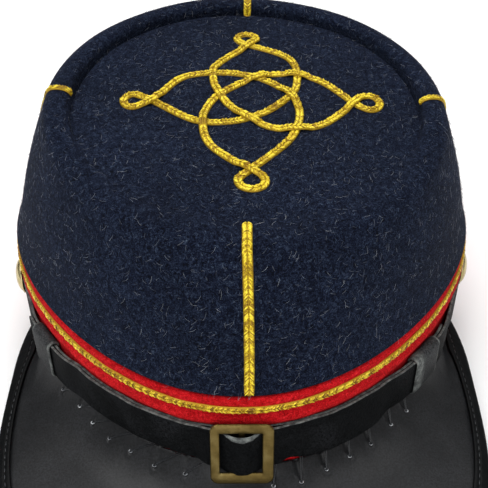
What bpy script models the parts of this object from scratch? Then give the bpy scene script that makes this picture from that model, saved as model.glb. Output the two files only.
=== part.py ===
# A kepi: a navy wool cap with a round sunken top, a red wool band, gold braid, a black leather
# peak, and a two-part leather chin strap with a brass buckle and two brass side buttons.
#
# Hat frame, in millimetres: +X to the wearer's left, -Y to the front, +Z up, the origin in the
# middle of the head opening at the band's lower edge. A turn is an angle round the head, 0 at +X,
# 90 at the back and -90 at the front. Left and right in names are as seen from the front, so left
# is -X. The hat is modelled in that frame and hangs on one empty, which leans it back to where it
# rests by itself: on the band's back edge and the peak's front edge.

import math

import bmesh
import bpy
from mathutils import Matrix, Vector

MM = 0.001
GAP = 0.3  # between pieces that touch on the real hat
TURN_STEP = 0.5  # over which the band's direction is measured
WELD = 0.01  # corners closer than this are one

# Head opening and band
BAND_HALF_WIDTH = 86.3
BAND_HALF_LENGTH = 104.9
OVAL_SLIMNESS = 0.022  # 0 is an ellipse, more makes the diagonals slimmer
BAND_HEIGHT = 35.0
BAND_THICKNESS = 2.0
BAND_SHOULDER = 1.0  # radius of the band's folded upper edge

# Crown
WOOL = 2.2  # crown wool with its facing
CROWN_FOOT = 1.0  # lower edge of the crown's wool, inside the band
CROWN_PUFF = 1.9  # outward swell half way up
WALL_CURVE = 1.15  # power of the wall's lean inwards, 1 is straight
WALL_CURVE_BACK = 0.35  # added at the back
TOP_CENTRE = (1.7, -19.4, 88.2)
TOP_RISE = math.radians(9.8)  # the round top is higher at the back
TOP_LEAN = math.radians(-1.5)  # and a little higher on the wearer's right
TOP_HALF_WIDTH = 59.0  # inside the roll
TOP_HALF_LENGTH = 58.5
TOP_THICKNESS = 2.0
ROLL_WIDTH = 9.2
ROLL_HEIGHT = 4.1  # at the back and sides
ROLL_HEIGHT_FRONT = 1.0  # where the roll is pressed flat
ROLL_TUCK = 0.5  # how far its inner edge goes below the round top

# Gold braid
BRAID_WIDTH = 3.1
BRAID_THICKNESS = 1.2
BAND_BRAID_HEIGHT = 31.0
SIDE_BRAID_BEND = 1.6  # power of the side braids' turn down the wall, 1 is straight
KNOT_CENTRE = (2.0, -0.3)
KNOT_REACH = 40.1  # knot centre to ring centre
KNOT_RING_LENGTH = 3.7  # middle line of each ring, half its size away from the centre
KNOT_RING_WIDTH = 4.2  # and across
KNOT_LIFT = 1.45  # rise of the strand where it passes over itself
KNOT_LIFT_LEVEL = 2.6  # length to either side of a crossing with the full rise
KNOT_LIFT_RAMP = 3.2  # length of each slope beyond

# Peak
PEAK_THICKNESS = 2.5
PEAK_HALF_WIDTH = 84.2
PEAK_SIDE_Y = -22.0  # rear ends of the peak
PEAK_CORNER_Y = -50.0  # where the side edges start to round towards the front
PEAK_FRONT_Y = -155.0
PEAK_SQUARENESS = 2.9  # power of the front outline, 2 is an ellipse
PEAK_DROP = 15.0  # front edge below the band's lower edge
PEAK_DROP_POWER = 1.3
PEAK_SEAM = 4.6  # margin under the band
PEAK_ROUND_LENGTH = 250.0  # length of the rounded front edge
PEAK_END_TURN = -12.0  # turn of the inner edge's end on the +X side
PEAK_END_TUCK = 3.5  # how far the side edges come in at their rear ends
PEAK_END_DROP = 1.9  # room for the binding between peak and band at the peak's ends
PEAK_END_SHARE = 0.1  # part of the edge along which each end lies that much lower, then as much to rise
PEAK_LIP = 5.6  # the leather turns up this far against the band
PEAK_LIP_REACH = 9.0  # over this distance in front of it
PEAK_LIP_SHAPE = ((0.0, 1.0), (0.25, 0.72), (0.55, 0.3), (1.0, 0.0))  # part of the distance, of the rise
BINDING_TOP = 7.0
BINDING_BELOW = 6.0
BINDING_THICKNESS = 1.1

# Chin strap
STRAP_WIDTH = 14.0
STRAP_THICKNESS = 1.3
STRAP_FRONT_Z = 17.6  # middle line at the front
STRAP_BUTTON_Z = 12.8  # and at the buttons
BUTTON_TURN = 8.9  # buttons in front of the widest point
STRAP_TAIL = 7.0  # turn of the strap behind its button
STRAP_END_SHARE = 0.72  # width of the clipped ends, as a part of the strap's
STRAP_STEP_DOWN = (1.0, 8.0)  # turns past the lower length's end over which the upper one comes down
STRAP_FLARE = 2.2  # the lower edge stands off the peak's turned-up leather on the +X side
STRAP_FLARE_TURNS = (-83.0, -74.0, -62.0, -54.0)  # where that starts, is full, stays full and ends
KEEPER_THICKNESS = 0.8
KEEPER_CLEAR = 0.35
KEEPER_REACH = (6.0, 13.0)  # turns from a keeper's middle over which the strap stands off the band

# Buckle
BUCKLE_WIDTH = 19.4
BUCKLE_HEIGHT = 21.2
BUCKLE_BAR = 3.25
BUCKLE_THICKNESS = 1.1
BUCKLE_CORNER = 2.5
BUCKLE_CENTRE_BAR = 2.0
BUCKLE_LEAN = math.radians(14.0)  # its lower edge stands forward
BUCKLE_Y = -110.7
BUCKLE_Z = 17.6
BUCKLE_RAMP = 5.4  # length over which the strap rises to the centre bar, to either side
BUCKLE_CREST = 1.4  # half its level length on the bar
WINDOW_CORNER = 0.3

# Buttons
BUTTON_RADIUS = 7.4
BUTTON_DOME = 3.2
BUTTON_RIM = 0.9
SHANK_RADIUS = 2.0
SHANK_HOLE = 2.5

# Facets
TURNS = 54  # round the crown and the band
BAND_BRAID_STEPS = 64
BRAID_SIDES = 6
KNOT_STEPS = 170
PEAK_STEPS = 38
STRAP_STEP = 3.6  # turn between stations along the strap
STRAP_STEP_FINE = 1.1  # and at the buckle
STRAP_FINE_TURN = 9.0  # turn to either side of the front with the finer stations
DOME_RINGS = (22.0, 45.0, 68.0)  # up the button's dome, in degrees
BUTTON_SIDES = 20
HOLE_SIDES = 16
HALVINGS = 24  # steps of the search for the band's face
KNOT_SMOOTHING = 8  # steps between two guide points of the knot

# name: colour as sRGB hex, roughness, metallic
MATERIALS = {
    "navy_wool": ("1B2238", 0.95, 0.0),
    "red_wool": ("B50E14", 0.95, 0.0),
    "gold_braid": ("D9A916", 0.45, 0.35),
    "peak_leather": ("2B2C2F", 0.42, 0.0),
    "strap_leather": ("24262A", 0.5, 0.0),
    "brass": ("8E8058", 0.35, 1.0),
}

# The knot's strand makes a ring at ring_turn, then goes round the knot's centre to the ring before
# it: its distances from the centre, as parts of the reach, after equal turns.
KNOT_ARCS = (
    {"ring_turn": 92.1, "distances": (0.87, 0.57, 0.33, 0.22, 0.18, 0.2, 0.26, 0.44, 0.64, 0.87)},
    {"ring_turn": 1.6, "distances": (0.86, 0.68, 0.49, 0.335, 0.27, 0.28, 0.34, 0.47, 0.67, 0.89)},
    {"ring_turn": 269.4, "distances": (0.86, 0.59, 0.455, 0.385, 0.34, 0.34, 0.38, 0.49, 0.7, 0.835)},
    {"ring_turn": 179.9, "distances": (0.835, 0.535, 0.31, 0.21, 0.18, 0.19, 0.255, 0.46, 0.76, 0.9)},
)

# Each strap length: the button's turn, the turn of its free end, and the layer it lies in.
STRAPS = {
    "strap_left": {"button": -169.9, "free_end": -34.0, "layer": 0},
    "strap_right": {"button": -7.6, "free_end": -149.8, "layer": 1},
}

KEEPERS = {
    "keeper_left": {"rear": -145.5, "front": -138.0},
    "keeper_right": {"rear": -40.0, "front": -48.5},
}

# Turns of each side braid at the round top and at the band, and how far it reaches onto the top
SIDE_BRAIDS = {
    "braid_front": {"top": -90.0, "foot": -88.4, "onto_top": 4.0},
    "braid_back": {"top": 90.0, "foot": 90.0, "onto_top": 0.0},
    "braid_left": {"top": 180.0, "foot": 165.0, "onto_top": 0.0},
    "braid_right": {"top": -2.0, "foot": 14.0, "onto_top": 0.0},
}


def smooth_step(value):
    value = min(1.0, max(0.0, value))
    return value * value * (3.0 - 2.0 * value)


def bump(distance, half_width):
    # 1 at no distance, falling smoothly to 0 at half_width
    if abs(distance) >= half_width:
        return 0.0
    return math.cos(0.5 * math.pi * distance / half_width) ** 2


def oval(turn, half_width, half_length):
    angle = math.radians(turn)
    slim = OVAL_SLIMNESS
    return Vector((
        half_width * ((1.0 - slim) * math.cos(angle) + slim * math.cos(3.0 * angle)),
        half_length * ((1.0 - slim) * math.sin(angle) - slim * math.sin(3.0 * angle)),
        0.0,
    ))


def head_point(turn, out, height):
    # A point beside the head opening: out is the distance outwards from the band's face.
    point = oval(turn, BAND_HALF_WIDTH, BAND_HALF_LENGTH)
    ahead = oval(turn + TURN_STEP, BAND_HALF_WIDTH, BAND_HALF_LENGTH) - point
    outwards = Vector((ahead.y, -ahead.x, 0.0)).normalized()
    return point + outwards * out + Vector((0.0, 0.0, height))


def top_frame():
    across = Vector((math.cos(TOP_LEAN), 0.0, math.sin(TOP_LEAN)))
    along = Vector((0.0, math.cos(TOP_RISE), math.sin(TOP_RISE)))
    return across, along, across.cross(along).normalized()


def top_point(x, y, height):
    across, along, upwards = top_frame()
    return Vector(TOP_CENTRE) + across * x + along * y + upwards * height


def roll_height(turn):
    flattened = smooth_step((-math.sin(math.radians(turn)) - 0.1) / 0.8)  # from the sides to the front
    return ROLL_HEIGHT + (ROLL_HEIGHT_FRONT - ROLL_HEIGHT) * flattened


def rim_point(turn, out, height):
    # A point on the roll: out is the distance outwards from the roll's inner edge.
    angle = math.radians(turn)
    x = (TOP_HALF_WIDTH + out) * math.cos(angle)
    y = (TOP_HALF_LENGTH + out) * math.sin(angle)
    return top_point(x, y, height)


def wall_point(turn, rise, depth=0.0):
    # The crown's wall, from the band's upper edge (rise 0) to the roll's outer shoulder (rise 1);
    # depth is the distance inwards from its outer face.
    foot = head_point(turn, -BAND_THICKNESS - GAP - depth, BAND_HEIGHT)
    head = rim_point(turn, ROLL_WIDTH - depth, 0.0)
    back = max(0.0, math.sin(math.radians(turn)))
    lean_in = rise ** (WALL_CURVE + WALL_CURVE_BACK * back)
    point = foot.lerp(head, lean_in)
    point.z = foot.z + (head.z - foot.z) * rise
    outwards = (foot - Vector((0.0, 0.0, foot.z))).normalized()
    return point + outwards * CROWN_PUFF * math.sin(math.pi * rise)


def roll_point(turn, over, depth=0.0):
    # The roll, from its outer shoulder (over 0) across to its inner edge (over 1)
    angle = math.pi * over
    half = 0.5 * ROLL_WIDTH
    height = roll_height(turn)
    base = -depth * (1.0 - height / ROLL_HEIGHT)
    crest = height - depth
    out = half + (half - depth) * math.cos(angle)
    return rim_point(turn, out, base + (crest - base) * math.sin(angle))


def new_material(name):
    colour, roughness, metallic = MATERIALS[name]
    material = bpy.data.materials.new(name)
    material.use_nodes = True
    shader = material.node_tree.nodes["Principled BSDF"]
    channels = [int(colour[i:i + 2], 16) / 255.0 for i in (0, 2, 4)]
    linear = [c / 12.92 if c <= 0.04045 else ((c + 0.055) / 1.055) ** 2.4 for c in channels]
    shader.inputs["Base Color"].default_value = (*linear, 1.0)
    shader.inputs["Roughness"].default_value = roughness
    shader.inputs["Metallic"].default_value = metallic
    return material


def add_piece(name, mesh, material, root):
    mesh.materials.append(material)
    piece = bpy.data.objects.new(name, mesh)
    piece.parent = root
    bpy.context.collection.objects.link(piece)
    return piece


def mesh_from(name, points, faces, smooth_angle=40.0):
    # points are millimetres in the hat frame
    mesh = bpy.data.meshes.new(name)
    mesh.from_pydata([Vector(p) * MM for p in points], [], faces)
    work = bmesh.new()
    work.from_mesh(mesh)
    bmesh.ops.remove_doubles(work, verts=work.verts, dist=WELD * MM)
    bmesh.ops.recalc_face_normals(work, faces=work.faces)
    work.to_mesh(mesh)
    work.free()
    mesh.shade_smooth()
    mesh.set_sharp_from_angle(angle=math.radians(smooth_angle))
    return mesh


def loft(name, sections, ring, smooth_angle=40.0):
    # Joins sections, which are loops of points; ring joins the last section to the first, and
    # otherwise both ends are capped.
    size = len(sections[0])
    points = [p for section in sections for p in section]
    faces = []
    joins = len(sections) if ring else len(sections) - 1
    for i in range(joins):
        here = i * size
        there = ((i + 1) % len(sections)) * size
        for j in range(size):
            k = (j + 1) % size
            faces.append((here + j, here + k, there + k, there + j))
    if not ring:
        faces.append(tuple(range(size - 1, -1, -1)))
        faces.append(tuple(range(len(points) - size, len(points))))
    return mesh_from(name, points, faces, smooth_angle)


def crown_side_mesh():
    rises = (0.0, 0.15, 0.35, 0.57, 0.8, 1.0)
    overs = (0.15, 0.32, 0.5, 0.68, 0.85, 1.0)
    tuck = -TOP_THICKNESS - ROLL_TUCK
    sections = []
    for i in range(TURNS):
        turn = 360.0 * i / TURNS
        outer = [head_point(turn, -BAND_THICKNESS - GAP, CROWN_FOOT)]
        outer += [wall_point(turn, rise) for rise in rises]
        outer += [roll_point(turn, over) for over in overs]
        outer.append(rim_point(turn, 0.0, tuck))
        inner = [head_point(turn, -BAND_THICKNESS - GAP - WOOL, CROWN_FOOT)]
        inner += [wall_point(turn, rise, WOOL) for rise in rises]
        inner += [roll_point(turn, over, WOOL) for over in overs]
        inner.append(rim_point(turn, WOOL, tuck))
        sections.append(outer + inner[::-1])
    return loft("crown_side", sections, ring=True, smooth_angle=60.0)


def crown_top_mesh():
    # A disc made of rings; its upper face is flush with the foot of the roll.
    rings = (0.0, 0.35, 0.7, 1.0)
    points, faces = [], []
    for height in (0.0, -TOP_THICKNESS):
        points.append(top_point(0.0, 0.0, height))
        for part in rings[1:]:
            for i in range(TURNS):
                angle = 2.0 * math.pi * i / TURNS
                x = (TOP_HALF_WIDTH - GAP) * part * math.cos(angle)
                y = (TOP_HALF_LENGTH - GAP) * part * math.sin(angle)
                points.append(top_point(x, y, height))
    layer = 1 + TURNS * (len(rings) - 1)
    for start, flip in ((0, False), (layer, True)):
        for i in range(TURNS):
            k = (i + 1) % TURNS
            loops = [(start, start + 1 + i, start + 1 + k)]
            for ring in range(len(rings) - 2):
                a = start + 1 + ring * TURNS
                b = a + TURNS
                loops.append((a + i, b + i, b + k, a + k))
            faces += [loop[::-1] if flip else loop for loop in loops]
    edge = layer - TURNS
    for i in range(TURNS):
        k = (i + 1) % TURNS
        faces.append((edge + i, layer + edge + i, layer + edge + k, edge + k))
    return mesh_from("crown_top", points, faces)


def band_mesh():
    # Section of the band as (out, height): flat foot, straight faces, folded round at the top
    profile = [(-BAND_THICKNESS, 0.0), (0.0, 0.0)]
    for degrees in (90, 60, 30, 0, -30, -60, -90):
        a = math.radians(degrees)
        out = BAND_SHOULDER * math.sin(a) - BAND_SHOULDER
        profile.append((out, BAND_HEIGHT - BAND_SHOULDER + BAND_SHOULDER * math.cos(a)))
    sections = []
    for i in range(TURNS):
        turn = 360.0 * i / TURNS
        sections.append([head_point(turn, out, height) for out, height in profile])
    return loft("band", sections, ring=True)


def braid_section(foot, side, upwards):
    # An oval section that lies on the cloth
    section = []
    for k in range(BRAID_SIDES):
        a = 2.0 * math.pi * (k + 0.5) / BRAID_SIDES
        across = 0.5 * BRAID_WIDTH * math.cos(a)
        section.append(foot + side * across + upwards * 0.5 * BRAID_THICKNESS * (1.0 + math.sin(a)))
    return section


def braid_mesh(name, route, normals, ring):
    sections = []
    last = len(route) - 1
    for i, point in enumerate(route):
        before = route[i - 1] if ring or i else route[0]
        after = route[(i + 1) % len(route)] if ring or i < last else route[last]
        ahead = (after - before).normalized()
        side = ahead.cross(normals[i]).normalized()
        upwards = side.cross(ahead).normalized()
        sections.append(braid_section(point + upwards * GAP, side, upwards))
    return loft(name, sections, ring, smooth_angle=60.0)


def side_braid_mesh(name, braid):
    # From the sunken top over the roll and down the wall to the band
    overs = (0.92, 0.82, 0.7, 0.58, 0.44, 0.3, 0.16, 0.05)
    rises = (0.93, 0.8, 0.66, 0.52, 0.38, 0.24, 0.12, 0.035)
    route, normals = [], []
    if braid["onto_top"]:
        for out in (-braid["onto_top"], -0.5 * braid["onto_top"]):
            route.append(rim_point(braid["top"], out, 0.0))
            normals.append(top_frame()[2])
    for surface, values in ((roll_point, overs), (wall_point, rises)):
        for value in values:
            share = value ** SIDE_BRAID_BEND if surface is wall_point else 1.0
            turn = braid["foot"] + (braid["top"] - braid["foot"]) * share
            across = surface(turn + 1.0, value) - surface(turn - 1.0, value)
            down = surface(turn, value - 0.02) - surface(turn, value + 0.02)
            route.append(surface(turn, value))
            normals.append(down.cross(across).normalized())
    return braid_mesh(name, route, normals, ring=False)


def band_braid_mesh():
    route, normals = [], []
    for i in range(BAND_BRAID_STEPS):
        turn = 360.0 * i / BAND_BRAID_STEPS
        route.append(head_point(turn, 0.0, BAND_BRAID_HEIGHT))
        normals.append((head_point(turn, 1.0, BAND_BRAID_HEIGHT) - route[-1]).normalized())
    return braid_mesh("band_braid", route, normals, ring=True)


def knot_plan():
    # Guide points of the knot in the plane of the top, one ring and one arc after the other
    points = []
    for i, arc in enumerate(KNOT_ARCS):
        ring_turn = arc["ring_turn"]
        next_turn = KNOT_ARCS[(i + 1) % len(KNOT_ARCS)]["ring_turn"]
        outwards = Vector((math.cos(math.radians(ring_turn)), math.sin(math.radians(ring_turn))))
        onwards = Vector((-outwards.y, outwards.x))
        for degrees in (45, 90, 135, 180, 225, 270, 315):
            a = math.radians(degrees)
            out = KNOT_REACH - KNOT_RING_LENGTH * math.cos(a)
            points.append(outwards * out + onwards * KNOT_RING_WIDTH * math.sin(a))
        sweep = (next_turn - ring_turn) % 360.0
        last = len(arc["distances"]) - 1
        for step, distance in enumerate(arc["distances"]):
            angle = math.radians(ring_turn + sweep * step / last)
            points.append(Vector((math.cos(angle), math.sin(angle))) * KNOT_REACH * distance)
    return points


def closed_curve(points, count):
    # Even steps along a Catmull-Rom curve through the points
    fine = []
    size = len(points)
    for i in range(size):
        p0, p1, p2, p3 = (points[(i + k - 1) % size] for k in range(4))
        for step in range(KNOT_SMOOTHING):
            t = step / KNOT_SMOOTHING
            fine.append(0.5 * (
                2.0 * p1 + (p2 - p0) * t + (2.0 * p0 - 5.0 * p1 + 4.0 * p2 - p3) * t ** 2
                + (3.0 * p1 - p0 - 3.0 * p2 + p3) * t ** 3
            ))
    lengths = [0.0]
    for i, point in enumerate(fine):
        lengths.append(lengths[-1] + (fine[(i + 1) % len(fine)] - point).length)
    curve, segment = [], 0
    for k in range(count):
        target = lengths[-1] * k / count
        while lengths[segment + 1] < target:
            segment += 1
        part = (target - lengths[segment]) / (lengths[segment + 1] - lengths[segment])
        curve.append(fine[segment].lerp(fine[(segment + 1) % len(fine)], part))
    return curve, lengths[-1]


def crossings(curve):
    # Places along the closed curve, in steps, where it crosses a later stretch of itself
    found = []
    size = len(curve)
    for i in range(size):
        a, b = curve[i], curve[(i + 1) % size]
        for j in range(i + 2, size):
            if i == 0 and j == size - 1:
                continue
            c, d = curve[j], curve[(j + 1) % size]
            r, s = b - a, d - c
            across = r.x * s.y - r.y * s.x
            if abs(across) < 1e-9:
                continue
            t = ((c.x - a.x) * s.y - (c.y - a.y) * s.x) / across
            u = ((c.x - a.x) * r.y - (c.y - a.y) * r.x) / across
            if 0.0 <= t < 1.0 and 0.0 <= u < 1.0:
                found.append(i + t)
    return found


def knot_mesh():
    curve, length = closed_curve(knot_plan(), KNOT_STEPS)
    step = length / KNOT_STEPS
    over = crossings(curve)  # the stretch that comes first lies on top
    route = []
    for i, point in enumerate(curve):
        lift = 0.0
        for place in over:
            away = abs(i - place)
            away = min(away, KNOT_STEPS - away) * step
            lift = max(lift, 1.0 - smooth_step((away - KNOT_LIFT_LEVEL) / KNOT_LIFT_RAMP))
        x = KNOT_CENTRE[0] + point.x
        y = KNOT_CENTRE[1] + point.y
        route.append(top_point(x, y, lift * KNOT_LIFT))
    upwards = top_frame()[2]
    return braid_mesh("top_knot", route, [upwards] * len(route), ring=True)


def peak_outline(part):
    # The peak's outer edge in plan, from its end on the -X side (part 0) to the one on the +X side
    side_length = PEAK_SIDE_Y - PEAK_CORNER_Y
    along = part * (2.0 * side_length + PEAK_ROUND_LENGTH)
    from_end = min(along, 2.0 * side_length + PEAK_ROUND_LENGTH - along)
    if from_end < side_length:
        share = from_end / side_length
        x = PEAK_HALF_WIDTH - PEAK_END_TUCK * (1.0 - share) ** 2
        return Vector((math.copysign(x, part - 0.5), PEAK_SIDE_Y - side_length * share, 0.0))
    angle = math.pi * (along - side_length) / PEAK_ROUND_LENGTH
    across, ahead = math.cos(angle), math.sin(angle)
    x = -PEAK_HALF_WIDTH * math.copysign(abs(across) ** (2.0 / PEAK_SQUARENESS), across)
    y = PEAK_CORNER_Y + (PEAK_FRONT_Y - PEAK_CORNER_Y) * ahead ** (2.0 / PEAK_SQUARENESS)
    return Vector((x, y, 0.0))


def peak_span(part):
    # Both ends of a line across the peak in plan, from its inner edge to its outer one
    turn = PEAK_END_TURN - (180.0 + 2.0 * PEAK_END_TURN) * (1.0 - part)
    return head_point(turn, -PEAK_SEAM, 0.0), peak_outline(part)


def peak_point(part, inset, height=0.0):
    # A point over the peak's upper face, inset millimetres from its outer edge. The margin under
    # the band is flat; at both ends of the peak it lies lower, for the binding between.
    inner, outer = peak_span(part)
    length = (outer - inner).length
    near_end = smooth_step(2.0 - min(part, 1.0 - part) / PEAK_END_SHARE)
    level = -GAP - PEAK_END_DROP * near_end
    forward = max(0.0, (PEAK_SIDE_Y - outer.y) / (PEAK_SIDE_Y - PEAK_FRONT_Y))
    past_seam = max(0.0, length - inset - PEAK_SEAM) / max(0.1, length - PEAK_SEAM)
    point = outer.lerp(inner, inset / length)
    point.z = level - PEAK_DROP * forward ** PEAK_DROP_POWER * past_seam + height
    return point


def peak_parts():
    return [i / PEAK_STEPS for i in range(PEAK_STEPS + 1)]


def band_inset(part):
    # How far in from the peak's outer edge the band's face is
    inner, outer = peak_span(part)
    length = (outer - inner).length
    near, far = 0.0, length
    for _ in range(HALVINGS):
        inset = 0.5 * (near + far)
        if beside_band(outer.lerp(inner, inset / length)) > GAP:
            near = inset
        else:
            far = inset
    return near


def beside_band(point):
    # Rough distance outwards from the band's face
    size = math.hypot(point.x / BAND_HALF_WIDTH, point.y / BAND_HALF_LENGTH)
    turn = math.degrees(math.atan2(point.y / BAND_HALF_LENGTH, point.x / BAND_HALF_WIDTH))
    face = oval(turn, BAND_HALF_WIDTH, BAND_HALF_LENGTH)
    reach = math.hypot(face.x / BAND_HALF_WIDTH, face.y / BAND_HALF_LENGTH)
    return (size / reach - 1.0) * face.length


def peak_mesh():
    # The leather turns up against the band, where there is room for that beside the binding
    sections = []
    for part in peak_parts():
        inner, outer = peak_span(part)
        length = (outer - inner).length
        face = band_inset(part)
        reach = min(PEAK_LIP_REACH, max(0.0, face - BINDING_TOP - 2.0 * GAP))
        top = [peak_point(part, length), peak_point(part, face)]
        if reach:
            for share, rise in PEAK_LIP_SHAPE:
                lip = PEAK_LIP * rise * reach / PEAK_LIP_REACH
                top.append(peak_point(part, face - reach * share, lip))
        else:
            top += [top[-1]] * len(PEAK_LIP_SHAPE)
        top += [peak_point(part, 0.5 * (face - reach)), peak_point(part, 0.0)]
        below = [peak_point(part, inset, -PEAK_THICKNESS) for inset in (length, face, 0.5 * face, 0.0)]
        sections.append(top + below[::-1])
    return loft("peak", sections, ring=False)


def binding_mesh():
    # A leather strip folded round the peak's edge, as (distance in from the edge, height)
    skin = BINDING_THICKNESS
    above = GAP + skin
    under = -PEAK_THICKNESS - GAP
    edge = -GAP - skin
    sections = []
    for part in peak_parts():
        inner, outer = peak_span(part)
        length = (outer - inner).length
        top_width = min(BINDING_TOP, length - 0.5)
        below_width = min(BINDING_BELOW, length - 0.5)
        profile = (
            (top_width, GAP), (top_width, above), (0.5 * top_width, above), (-GAP, above),
            (edge, 0.0), (edge, -PEAK_THICKNESS),
            (-GAP, under - skin), (0.5 * below_width, under - skin), (below_width, under - skin),
            (below_width, under), (0.5 * below_width, under), (-GAP, under),
            (-GAP, GAP), (0.5 * top_width, GAP),
        )
        sections.append([peak_point(part, inset, height) for inset, height in profile])
    return loft("peak_binding", sections, ring=False)


def strap_middle(turn):
    # Height of the strap's middle line
    from_front = min(1.0, abs(turn + 90.0) / (90.0 - BUTTON_TURN))
    return STRAP_FRONT_Z + (STRAP_BUTTON_Z - STRAP_FRONT_Z) * from_front ** 1.5


def strap_base(turn):
    # Distance of the strap's back from the band: it stands off inside each keeper, which goes
    # round behind it
    near, far = KEEPER_REACH
    lift = 0.0
    for keeper in KEEPERS.values():
        middle = 0.5 * (keeper["rear"] + keeper["front"])
        lift = max(lift, smooth_step((far - abs(turn - middle)) / (far - near)))
    return GAP + (KEEPER_THICKNESS + GAP) * lift


def buckle_depth(height):
    # Distance of the buckle's front face from the band at the front, at a height
    middle = -BUCKLE_Y - BAND_HALF_LENGTH - (height - BUCKLE_Z) * math.tan(BUCKLE_LEAN)
    return middle + 0.5 * BUCKLE_THICKNESS / math.cos(BUCKLE_LEAN)


def strap_out(turn, height, layer, other_end):
    # Distance of a strap layer's back face from the band
    out = strap_base(turn)
    if layer == 0:
        return out
    near, far = STRAP_STEP_DOWN
    out += smooth_step((other_end + far - turn) / (far - near)) * (STRAP_THICKNESS + GAP)
    over_bar = buckle_depth(height) + GAP - out
    across = oval(turn, BAND_HALF_WIDTH, BAND_HALF_LENGTH).x
    return out + over_bar * bump(max(0.0, abs(across) - BUCKLE_CREST), BUCKLE_RAMP)


def strap_flare(turn):
    start, full, still_full, end = STRAP_FLARE_TURNS
    return STRAP_FLARE * smooth_step((turn - start) / (full - start)) * smooth_step(
        (end - turn) / (end - still_full))


def strap_turns(start, end):
    # Stations along a strap, closer together at the buckle
    turns = []
    turn = start
    direction = 1.0 if end > start else -1.0
    while (end - turn) * direction > 0.5:
        turns.append(turn)
        at_buckle = abs(turn + 90.0) < STRAP_FINE_TURN
        turn += direction * (STRAP_STEP_FINE if at_buckle else STRAP_STEP)
    turns.append(end)
    return turns


def strap_mesh(name, strap):
    towards = 1.0 if strap["free_end"] > strap["button"] else -1.0
    start = strap["button"] - towards * STRAP_TAIL
    other_end = STRAPS["strap_left"]["free_end"]
    sections = []
    turns = strap_turns(start, strap["free_end"])
    for i, turn in enumerate(turns):
        share = STRAP_END_SHARE if i in (0, len(turns) - 1) else 1.0
        middle = strap_middle(turn)
        section = []
        for side, outer in ((-1, 0), (-1, 1), (1, 1), (1, 0)):
            height = middle + side * 0.5 * STRAP_WIDTH * share
            out = strap_out(turn, height, strap["layer"], other_end)
            if side < 0:
                out += strap_flare(turn)
            section.append(head_point(turn, out + outer * STRAP_THICKNESS, height))
        sections.append(section)
    return loft(name, sections, ring=False)


def keeper_mesh(name, keeper):
    # A leather loop round both strap lengths
    middle_turn = 0.5 * (keeper["rear"] + keeper["front"])
    base = strap_base(middle_turn)
    back = base - GAP
    front = base + 2.0 * STRAP_THICKNESS + GAP + KEEPER_CLEAR
    half = 0.5 * STRAP_WIDTH + KEEPER_CLEAR
    skin = KEEPER_THICKNESS
    turns = [keeper["rear"], middle_turn, keeper["front"]]
    sections = []
    for out, side, away in ((back, -1, -skin), (front, -1, skin), (front, 1, skin), (back, 1, -skin)):
        near = [head_point(t, out, strap_middle(t) + side * half) for t in turns]
        far = [head_point(t, out + away, strap_middle(t) + side * (half + skin)) for t in turns]
        sections.append(near + far[::-1])
    return loft(name, sections, ring=True)


def rounded_plate(name, width, height, thickness, radius, steps):
    # A rounded rectangle in X and Z, with its thickness along Y
    x, z = 0.5 * width - radius, 0.5 * height - radius
    outline = []
    for corner_x, corner_z, start in ((x, z, 0.0), (-x, z, 90.0), (-x, -z, 180.0), (x, -z, 270.0)):
        for k in range(steps + 1):
            a = math.radians(start + 90.0 * k / steps)
            outline.append((corner_x + radius * math.cos(a), corner_z + radius * math.sin(a)))
    faces = [[Vector((x, y, z)) for x, z in outline] for y in (-0.5 * thickness, 0.5 * thickness)]
    return loft(name, faces, ring=False)


def add_cut(piece, name, mesh, material, parent):
    # Cuts a mesh out of a piece
    cutter = add_piece(name, mesh, material, parent)
    cutter.hide_render = True
    cutter.display_type = "WIRE"
    cut = piece.modifiers.new(name, "BOOLEAN")
    cut.operation = "DIFFERENCE"
    cut.solver = "EXACT"
    cut.object = cutter
    return cutter


def add_buckle(material, root):
    frame = rounded_plate("buckle", BUCKLE_WIDTH, BUCKLE_HEIGHT, BUCKLE_THICKNESS, BUCKLE_CORNER, 5)
    buckle = add_piece("buckle", frame, material, root)
    buckle.location = Vector((0.0, BUCKLE_Y, BUCKLE_Z)) * MM
    buckle.rotation_euler.x = -BUCKLE_LEAN
    width = 0.5 * (BUCKLE_WIDTH - 2.0 * BUCKLE_BAR - BUCKLE_CENTRE_BAR)
    height = BUCKLE_HEIGHT - 2.0 * BUCKLE_BAR
    for name, side in (("window_left", -1.0), ("window_right", 1.0)):
        window = rounded_plate(name, width, height, 3.0 * BUCKLE_THICKNESS, WINDOW_CORNER, 1)
        cutter = add_cut(buckle, name, window, material, buckle)
        cutter.location.x = side * 0.5 * (BUCKLE_CENTRE_BAR + width) * MM
    return buckle


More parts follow.
